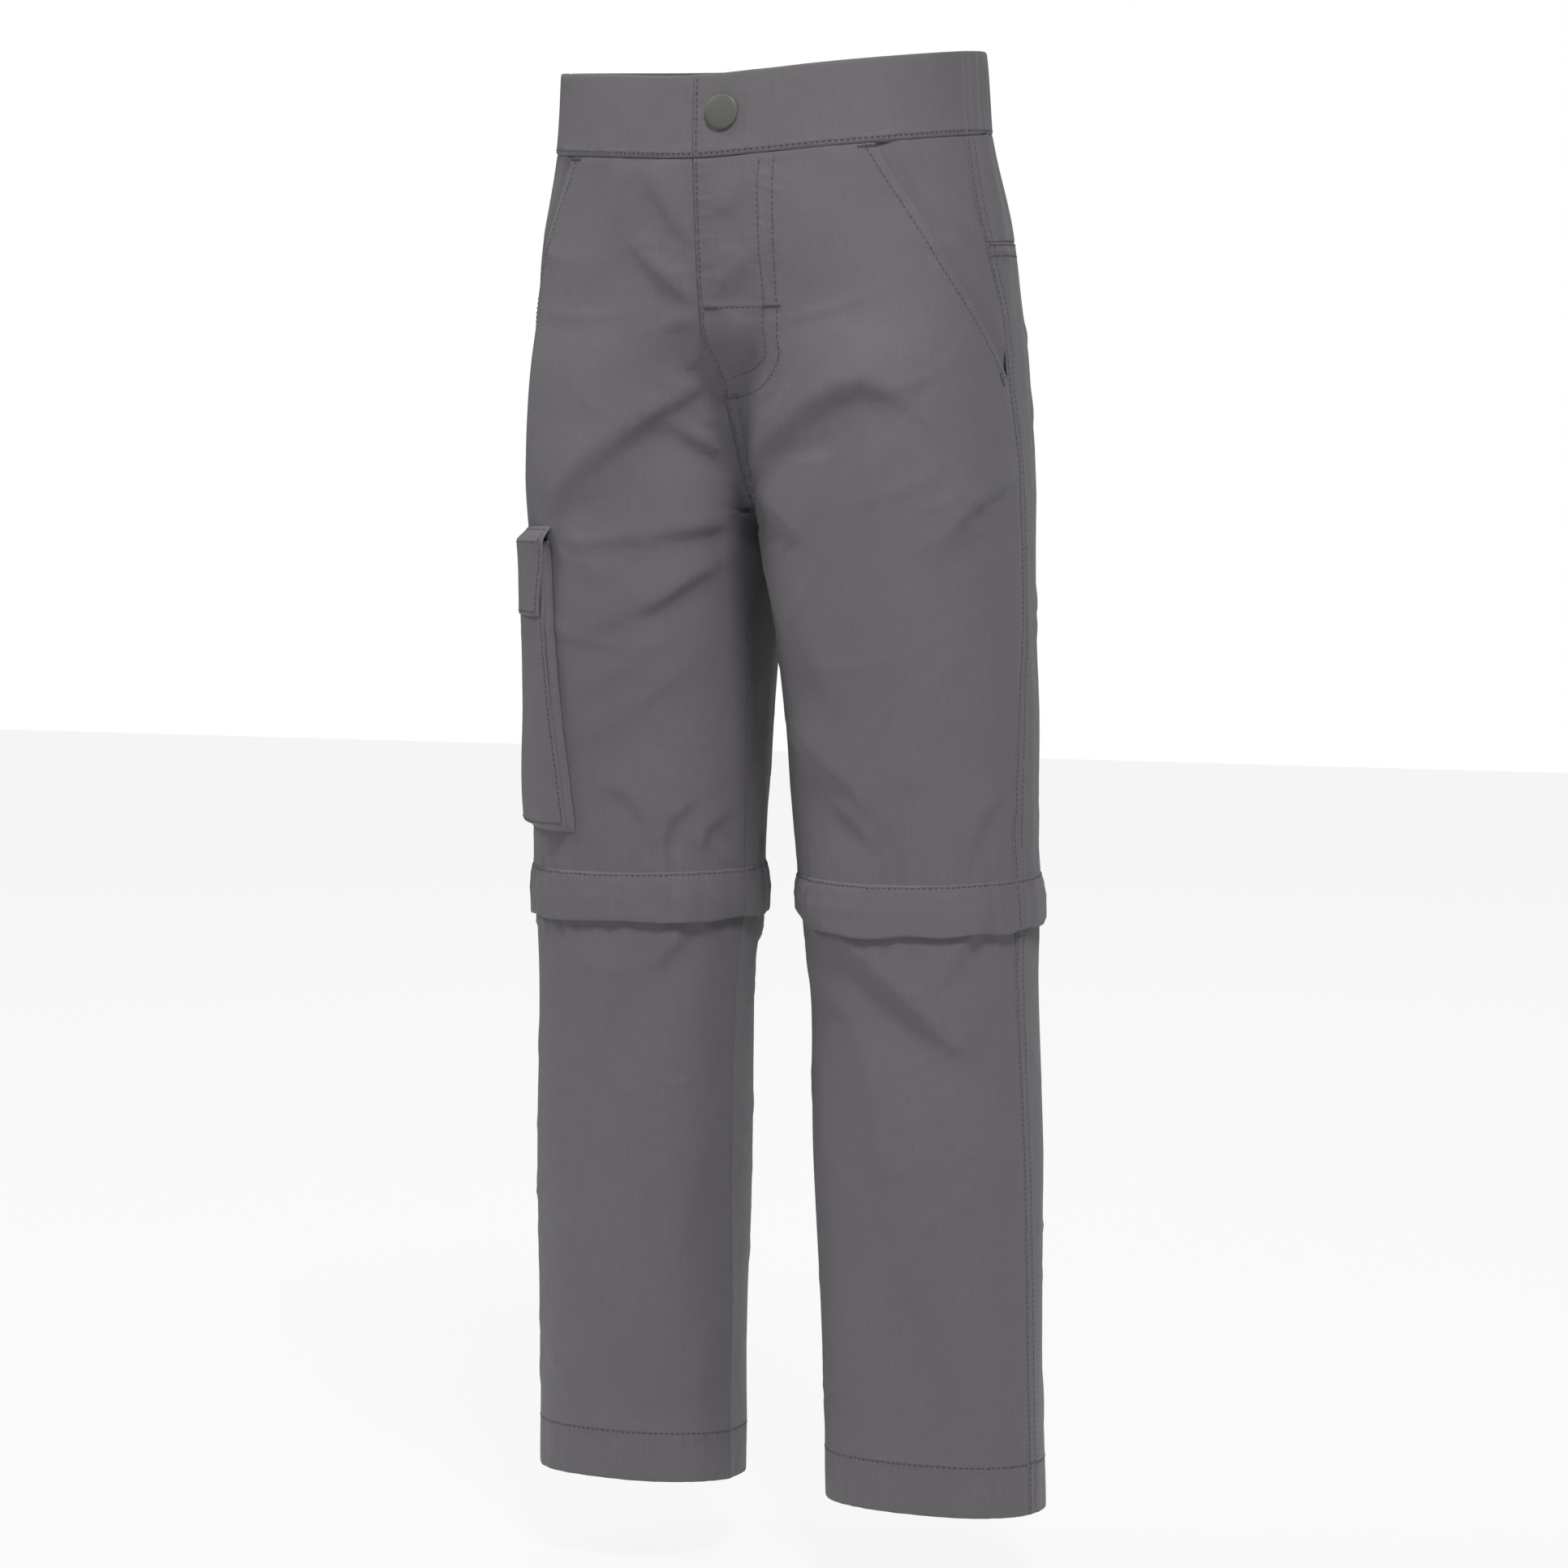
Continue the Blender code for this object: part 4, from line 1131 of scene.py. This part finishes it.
def band_drop(side, turn, drop):
    """Where the band really hangs: its lower edge is uneven, and lifts beside the inseam."""
    share = (drop - BAND_TOP) / (BAND_BOTTOM - BAND_TOP)
    uneven = 0.7 * ripple(turn, 50 + side, 2, 12)
    if side == LEFT:
        inside = (turn + np.radians(158) + np.pi) % (2 * np.pi) - np.pi
        uneven = uneven - 6.5 * np.exp(-((inside / 0.28) ** 2))
    return drop + share**1.5 * uneven


def make_knees():
    """The zip that each leg comes off at, and the band that covers it."""
    for side in (LEFT, RIGHT):
        start, end = ring_edges(side)
        name = NAMES[side]

        def tape(turn, drop):
            return 0 * turn - INSIDE

        cloth = leg_cloth(side, start, end, ZIP_TOP - 5.5, ZIP_TOP + 11.5, tape, thick=0.9)
        piece = lay("knee_zip_tape_" + name, "knee_zip_" + name, cloth, step=3)
        piece.data.materials[0] = zip_tape()
        make_teeth(side)

        def band(turn, drop):
            share = (drop - BAND_TOP) / (BAND_BOTTOM - BAND_TOP)
            uneven = 1 + 0.25 * np.sin(2 * turn + 0.6) + 0.12 * np.sin(5 * turn)
            ridge = 0.35 * np.exp(-(((drop - BAND_TOP - 12) / 2.5) ** 2))
            gather = 0.05 * ripple(turn, 60 + side, 8, 26)
            rise = 0.4 + 1.2 * ease(share * 4) + 1.3 * uneven * ease(share * 1.1)
            return rise + ridge + gather * ease(share * 2)

        cloth = leg_cloth(side, start, end, BAND_TOP, BAND_BOTTOM, band, thick=DOUBLE)
        plain = cloth.place
        cloth.place = lambda turn, drop, lift, plain=plain: plain(turn, band_drop(side, turn, drop), lift)
        low = np.array(BAND_TOP + 1.6)
        rows = [points_round(start(side, low) + 0.02, end(side, low) - 0.02, float(low), 80)]
        rows.append(points_down(lambda d: side_edge(side, d, 1), BAND_TOP + 3, BAND_BOTTOM - 1, 8))
        lay("knee_band_cloth_" + name, "knee_band_" + name, cloth, rows)


def make_teeth(side):
    """Two rows of moulded teeth that mesh, right round the leg."""
    cloth = leg_cloth(side, *ring_edges(side), ZIP_TOP, ZIP_BOTTOM, lambda t, d: 0 * t - 1.9)
    middle = (ZIP_TOP + ZIP_BOTTOM) / 2
    parts = []
    for shift, drop in ((0, middle - 1.0), (1, middle + 1.0)):
        start, end = float(cloth.start(np.array(drop))), float(cloth.end(np.array(drop)))
        row = points_round(start + 0.01 + 0.018 * shift, end - 0.028 + 0.018 * shift, drop, 60)
        parts.append(resampled(cloth, row, 2.0))
    points, along, out = (np.concatenate([part[k] for part in parts]) for k in range(3))
    name = "knee_zip_teeth_" + NAMES[side]
    tooth = lambda bm: bmesh.ops.create_cube(bm, size=1)
    piece = add_piece(name, repeated(name, tooth, points, along, out, (3.4, 1.1, 1.2)), zip_teeth())


def make_lower_legs():
    """The parts that zip off: a front and a back each, with a turned-up hem inside."""
    for side in (LEFT, RIGHT):
        before = lambda side, drop: side_edge(side, drop, -1)
        after = lambda side, drop: side_edge(side, drop, 1)
        hem = np.array(HEM_STITCH)
        front = leg_cloth(side, front_edge, before, ZIP_BOTTOM, SIDE_LENGTH)
        rows = [points_round(front_edge(side, hem) + 0.01, before(side, hem) - 0.01, HEM_STITCH)]
        lay("lower_front_cloth_" + NAMES[side], "lower_front_" + NAMES[side], front, rows)
        back = leg_cloth(side, after, back_edge, ZIP_BOTTOM, SIDE_LENGTH)
        rows = [points_round(after(side, hem) + 0.01, back_edge(side, hem) - 0.01, HEM_STITCH)]
        for away in (1.3, 6.5):
            rows.append(points_down(lambda d: moved(side, after(side, d), d, away), ZIP_BOTTOM + 2, SIDE_LENGTH - 2, 50))
        lay("lower_back_cloth_" + NAMES[side], "lower_back_" + NAMES[side], back, rows)
        inside = lambda turn, drop: 0 * turn - SINGLE - 0.3
        start, end = ring_edges(side)
        cloth = leg_cloth(side, start, end, HEM_STITCH, SIDE_LENGTH - GAP / 2, inside)
        lay("hem_cloth_" + NAMES[side], "hem_" + NAMES[side], cloth, step=3)


def cargo_half(share):
    return CARGO_WIDTH / 2 + CARGO_SPREAD * share


def cargo_place(away, drop, lift):
    """A point of the cargo pocket, away millimetres round from its middle line."""
    turn = np.radians(CARGO_MIDDLE) + away / ((section("outer", drop) + section("front", drop)) / 2)
    return skin(RIGHT, turn, drop, lift)


def make_cargo_pocket():
    """A bag that stands off the thigh on a sloping gusset, under a flap."""
    stand = LAYER + CARGO_DEPTH
    tall = CARGO_BOTTOM - CARGO_TOP
    half = lambda drop: cargo_half((drop - CARGO_TOP) / tall)

    def bag(away, drop):
        u = away / (2 * half(drop)) + 0.5
        belly = 1.4 * np.sin(np.pi * np.clip(u, 0, 1)) * np.sin(np.pi * (drop - CARGO_TOP) / tall)
        slump = 0.5 * np.sin(away / 17 + drop / 23) + 0.35 * np.sin(away / 9 - drop / 31)
        return stand + belly + slump

    flat = lambda a, d: a
    cloth = Cloth(cargo_place, flat, lambda d: -half(d), half, CARGO_TOP, CARGO_BOTTOM, bag, thick=1.0)
    rows = [[(way * (half(d) - 1.5), d) for d in np.linspace(CARGO_TOP + 2, CARGO_BOTTOM - 1.5, 20)] for way in (-1, 1)]
    low = CARGO_BOTTOM - 1.5
    rows.append([(a, low) for a in np.linspace(-half(low) + 1.5, half(low) - 1.5, 20)])
    lay("cargo_bag_cloth", "cargo_bag", cloth, rows)
    steps = 10
    front = [(-1, i / steps, -1, 0) for i in range(steps)]
    under = [(2 * i / steps - 1, 1, 0, 1) for i in range(1, steps)]
    behind = [(1, 1 - (i + 1) / steps, 1, 0) for i in range(steps)]
    path = np.array(front + [(-1, 1, -1, 1)] + under + [(1, 1, 1, 1)] + behind, float)
    length = 2 * tall + CARGO_WIDTH + 2 * CARGO_SPREAD
    deep = 6.0

    def gusset(run, level, lift):
        u, v = run / length, (level - 100) / deep
        stops = np.linspace(0, 1, len(path))
        across, down, to_side, to_floor = (np.interp(u, stops, path[:, k]) for k in range(4))
        pleat = 1.6 * np.sin(np.pi * np.clip(v, 0, 1))
        spread = 3.0 * (1 - v) + lift - pleat
        drop = CARGO_TOP + tall * down + to_floor * spread
        foot = 0.4
        out = foot + (stand - 0.8 - foot) * v
        return cargo_place(cargo_half(down) * across + to_side * spread, drop, out)

    wall = Cloth(gusset, flat, lambda d: 0 * d, lambda d: length + 0 * d, 100.0, 100 + deep)
    wall.sunk = (0, 0)
    lay("cargo_gusset_cloth", "cargo_gusset", wall, [], step=1.6)

    def flap(away, drop):
        rise = ease((drop - FLAP_TOP) / 7)
        curl = 0.8 * ease((np.abs(away) - 52) / 12) * rise
        return 0.5 + (stand + 1.6) * rise - curl + 0.3 * np.sin(away / 13)

    wide = lambda d: FLAP_WIDTH / 2 - FLAP_TAPER * ease((d - FLAP_TOP) / (FLAP_BOTTOM - FLAP_TOP))
    cloth = Cloth(cargo_place, flat, lambda d: -wide(d), wide, FLAP_TOP, FLAP_BOTTOM, flap, thick=1.2)
    rows = [[(way * (wide(d) - 2), d) for d in np.linspace(FLAP_TOP + 1, FLAP_BOTTOM - 2, 14)] for way in (-1, 1)]
    low = FLAP_BOTTOM - 2
    rows.append([(a, low) for a in np.linspace(-wide(low) + 2, wide(low) - 2, 20)])
    for drop in (FLAP_TOP + 1.5, FLAP_TOP + 7):
        rows.append([(a, drop) for a in np.linspace(-wide(drop) + 2, wide(drop) - 2, 20)])
    lay("cargo_flap_cloth", "cargo_flap", cloth, rows)


def make_snap():
    """The snap's cap: a disc with a rolled rim and a soft dome, spun round its axis."""
    edge = -centre_edge(SNAP_DROP, -SNAP_ACROSS)
    lift = BAND_STAND + float(lap_rise(edge, SNAP_DROP))
    base = skin(LEFT, edge, np.array(SNAP_DROP), np.array(lift), -1e3)
    top = skin(LEFT, edge, np.array(SNAP_DROP), np.array(lift + 10), -1e3)
    direction = Vector((top - base) / np.linalg.norm(top - base))
    profile = [(0.0, -0.5), (6.6, -0.5), (7.6, 0.0), (8.0, 0.6), (7.85, 1.15), (7.4, 1.5), (6.6, 1.72)]
    profile += [(5.0, 2.0), (3.0, 2.22), (1.4, 2.32), (0.0, 2.35)]
    bm = bmesh.new()
    verts = [bm.verts.new((r * MM, 0, z * MM)) for r, z in profile]
    edges = [bm.edges.new(pair) for pair in zip(verts, verts[1:])]
    bmesh.ops.spin(bm, geom=verts + edges, axis=(0, 0, 1), cent=(0, 0, 0), steps=64, angle=2 * math.pi, use_merge=True)
    bmesh.ops.remove_doubles(bm, verts=bm.verts[:], dist=0.000002)
    bmesh.ops.recalc_face_normals(bm, faces=bm.faces[:])
    turn = direction.to_track_quat("Z", "Y").to_matrix().to_4x4()
    bmesh.ops.transform(bm, matrix=Matrix.Translation(Vector(base) * MM) @ turn, verts=bm.verts[:])
    mesh = bpy.data.meshes.new("snap_cap_painted")
    bm.to_mesh(mesh)
    bm.free()
    mesh.shade_smooth()
    piece = add_piece("snap_cap_painted", mesh, painted_snap())
    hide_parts("snap_cap")
    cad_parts["snap_stud"].material_slots[0].material = snap_metal()


def light_studio(world, strength):
    """A white backdrop, and even light that is stronger from above than from below."""
    finish = Finish(world.node_tree)
    background = world.node_tree.nodes["Background"]
    direction = finish.node("ShaderNodeTexCoord", {}, {}, output=0)
    height = finish.node("ShaderNodeSeparateXYZ", {}, {0: direction}, output=2)
    share = finish.node("ShaderNodeMapRange", {}, {0: height, 1: -0.3, 2: 0.8, 3: 0.4, 4: 1.2})
    seen = finish.node("ShaderNodeLightPath")
    level = share * strength * (1 - seen) + seen
    background.inputs["Color"].default_value = (1, 1, 1, 1)
    world.node_tree.links.new(level.socket, background.inputs["Strength"])


def make_stage():
    """A pale floor, soft studio light, and the camera."""
    stage = bpy.context.scene.trouser_stage
    scene = bpy.context.scene
    bm = bmesh.new()
    bmesh.ops.create_grid(bm, x_segments=1, y_segments=1, size=6)
    bmesh.ops.translate(bm, verts=bm.verts[:], vec=(0, 0, stage.floor_height))
    mesh = bpy.data.meshes.new("floor")
    bm.to_mesh(mesh)
    bm.free()
    mesh.materials.append(pale_floor())
    floor = bpy.data.objects.new("floor", mesh)
    scene.collection.objects.link(floor)
    world = bpy.data.worlds.new("studio")
    world.use_nodes = True
    light_studio(world, stage.surround)
    scene.world = world
    scene.view_settings.view_transform = "Standard"
    middle = Vector((0, 0, -0.33))
    lights = (
        ("key_light", (1.05, -1.35, 1.95), 0.6, stage.key_power),
        ("fill_light", (-1.9, -0.75, 1.5), 0.7, stage.key_power * 0.4),
        ("back_light", (-0.5, 2.0, 1.7), 1.2, stage.key_power * 0.35),
    )
    for name, place, size, power in lights:
        data = bpy.data.lights.new(name, "AREA")
        data.shape = "DISK"
        data.size = size
        data.energy = power
        lamp = bpy.data.objects.new(name, data)
        lamp.location = place
        lamp.rotation_mode = "QUATERNION"
        lamp.rotation_quaternion = (middle - Vector(place)).to_track_quat("-Z", "Y")
        scene.collection.objects.link(lamp)
    view = bpy.data.cameras.new("camera")
    view.sensor_width = 36
    view.lens = stage.focal_length
    view.shift_x = 9 / 1932
    view.clip_end = 50
    camera = bpy.data.objects.new("camera", view)
    azimuth, pitch = stage.azimuth, stage.pitch
    away = Vector((math.sin(azimuth), -math.cos(azimuth), 0))
    camera.location = away * stage.distance + Vector((0, 0, stage.height))
    ahead = -away * math.cos(pitch) - Vector((0, 0, math.sin(pitch)))
    camera.rotation_mode = "QUATERNION"
    camera.rotation_quaternion = ahead.to_track_quat("-Z", "Y")
    scene.collection.objects.link(camera)
    scene.camera = camera


# ---- Add-on ----


class ClothProperties(bpy.types.PropertyGroup):
    colour: bpy.props.FloatVectorProperty(
        name="Cloth colour", description="Colour of the woven cloth", subtype="COLOR", default=(0.150, 0.141, 0.152)
    )
    thread_colour: bpy.props.FloatVectorProperty(
        name="Thread colour", description="Colour of the sewing thread", subtype="COLOR", default=(0.095, 0.089, 0.098)
    )
    heather: bpy.props.FloatProperty(
        name="Heather", description="How uneven the yarn's colour is", subtype="FACTOR", default=0.10, min=0, max=1
    )
    thread_pitch: bpy.props.FloatProperty(
        name="Thread pitch", description="Width of a pair of threads", unit="LENGTH", default=0.0007, precision=5
    )
    sheen: bpy.props.FloatProperty(
        name="Sheen", description="The cloth's soft gleam at grazing angles", subtype="FACTOR", default=0.12, min=0, max=1
    )


class TrimProperties(bpy.types.PropertyGroup):
    snap_colour: bpy.props.FloatVectorProperty(
        name="Snap colour", description="Paint of the snap's cap", subtype="COLOR", default=(0.128, 0.130, 0.118)
    )
    zip_colour: bpy.props.FloatVectorProperty(
        name="Zip colour", description="Tape and teeth of the zips", subtype="COLOR", default=(0.06, 0.058, 0.062)
    )


class StageProperties(bpy.types.PropertyGroup):
    azimuth: bpy.props.FloatProperty(
        name="Azimuth", description="How far round the camera stands", subtype="ANGLE", default=math.radians(25)
    )
    pitch: bpy.props.FloatProperty(
        name="Pitch", description="How far down the camera looks", subtype="ANGLE", default=math.radians(3.93)
    )
    distance: bpy.props.FloatProperty(
        name="Distance", description="From the garment's axis to the camera", unit="LENGTH", default=1.77
    )
    height: bpy.props.FloatProperty(
        name="Height", description="The camera's height over the waist", unit="LENGTH", default=-0.218
    )
    focal_length: bpy.props.FloatProperty(name="Focal length", description="In millimetres", default=85.66)
    floor_height: bpy.props.FloatProperty(
        name="Floor height", description="The floor's height under the waist", unit="LENGTH", default=-0.72
    )
    key_power: bpy.props.FloatProperty(name="Key light", description="Power in watts", unit="POWER", default=57.0)
    surround: bpy.props.FloatProperty(name="Surround", description="Strength of the studio's own light", default=0.13)


class TROUSERS_OT_waistband(bpy.types.Operator):
    """Make the waistband: two fronts and a gathered back"""

    bl_idname = "trousers.waistband"
    bl_label = "Waistband"

    def execute(self, context):
        make_waistband()
        return {"FINISHED"}


class TROUSERS_OT_fronts(bpy.types.Operator):
    """Make the fronts with their pockets and the fly"""

    bl_idname = "trousers.fronts"
    bl_label = "Fronts, pockets and fly"

    def execute(self, context):
        make_fronts()
        make_pocket_facings()
        make_fly_zip()
        return {"FINISHED"}


class TROUSERS_OT_backs(bpy.types.Operator):
    """Make the yokes and the backs"""

    bl_idname = "trousers.backs"
    bl_label = "Yokes and backs"

    def execute(self, context):
        make_backs()
        return {"FINISHED"}


class TROUSERS_OT_knees(bpy.types.Operator):
    """Make the knee zips and the bands that cover them"""

    bl_idname = "trousers.knees"
    bl_label = "Knee zips and bands"

    def execute(self, context):
        make_knees()
        return {"FINISHED"}


class TROUSERS_OT_lower_legs(bpy.types.Operator):
    """Make the lower legs, which zip off, and their hems"""

    bl_idname = "trousers.lower_legs"
    bl_label = "Lower legs and hems"

    def execute(self, context):
        make_lower_legs()
        return {"FINISHED"}


class TROUSERS_OT_cargo_pocket(bpy.types.Operator):
    """Make the cargo pocket: bag, gusset and flap"""

    bl_idname = "trousers.cargo_pocket"
    bl_label = "Cargo pocket"

    def execute(self, context):
        make_cargo_pocket()
        return {"FINISHED"}


class TROUSERS_OT_snap(bpy.types.Operator):
    """Make the snap on the waistband"""

    bl_idname = "trousers.snap"
    bl_label = "Snap"

    def execute(self, context):
        make_snap()
        return {"FINISHED"}


class TROUSERS_OT_stage(bpy.types.Operator):
    """Make the floor, the studio light and the camera"""

    bl_idname = "trousers.stage"
    bl_label = "Stage"

    def execute(self, context):
        make_stage()
        return {"FINISHED"}


OPERATORS = (
    TROUSERS_OT_waistband,
    TROUSERS_OT_fronts,
    TROUSERS_OT_backs,
    TROUSERS_OT_knees,
    TROUSERS_OT_lower_legs,
    TROUSERS_OT_cargo_pocket,
    TROUSERS_OT_snap,
    TROUSERS_OT_stage,
)


class VIEW3D_PT_trousers(bpy.types.Panel):
    """Lists the pieces of the trousers"""

    bl_label = "Zip-off trousers"
    bl_space_type = "VIEW_3D"
    bl_region_type = "UI"
    bl_category = "Trousers"

    def draw(self, context):
        for group in (context.scene.trouser_cloth, context.scene.trouser_trim, context.scene.trouser_stage):
            for name in group.__annotations__:
                self.layout.prop(group, name)
        for item in OPERATORS:
            self.layout.operator(item.bl_idname)


GROUPS = {"trouser_cloth": ClothProperties, "trouser_trim": TrimProperties, "trouser_stage": StageProperties}


def register():
    for item in (*GROUPS.values(), *OPERATORS, VIEW3D_PT_trousers):
        bpy.utils.register_class(item)
    for name, group in GROUPS.items():
        setattr(bpy.types.Scene, name, bpy.props.PointerProperty(type=group))


def unregister():
    for name in GROUPS:
        delattr(bpy.types.Scene, name)
    for item in (VIEW3D_PT_trousers, *reversed(OPERATORS), *reversed(GROUPS.values())):
        bpy.utils.unregister_class(item)


def main():
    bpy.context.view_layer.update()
    register()
    for item in OPERATORS:
        group, name = item.bl_idname.split(".")
        getattr(getattr(bpy.ops, group), name)()


if __name__ == "__main__":
    main()
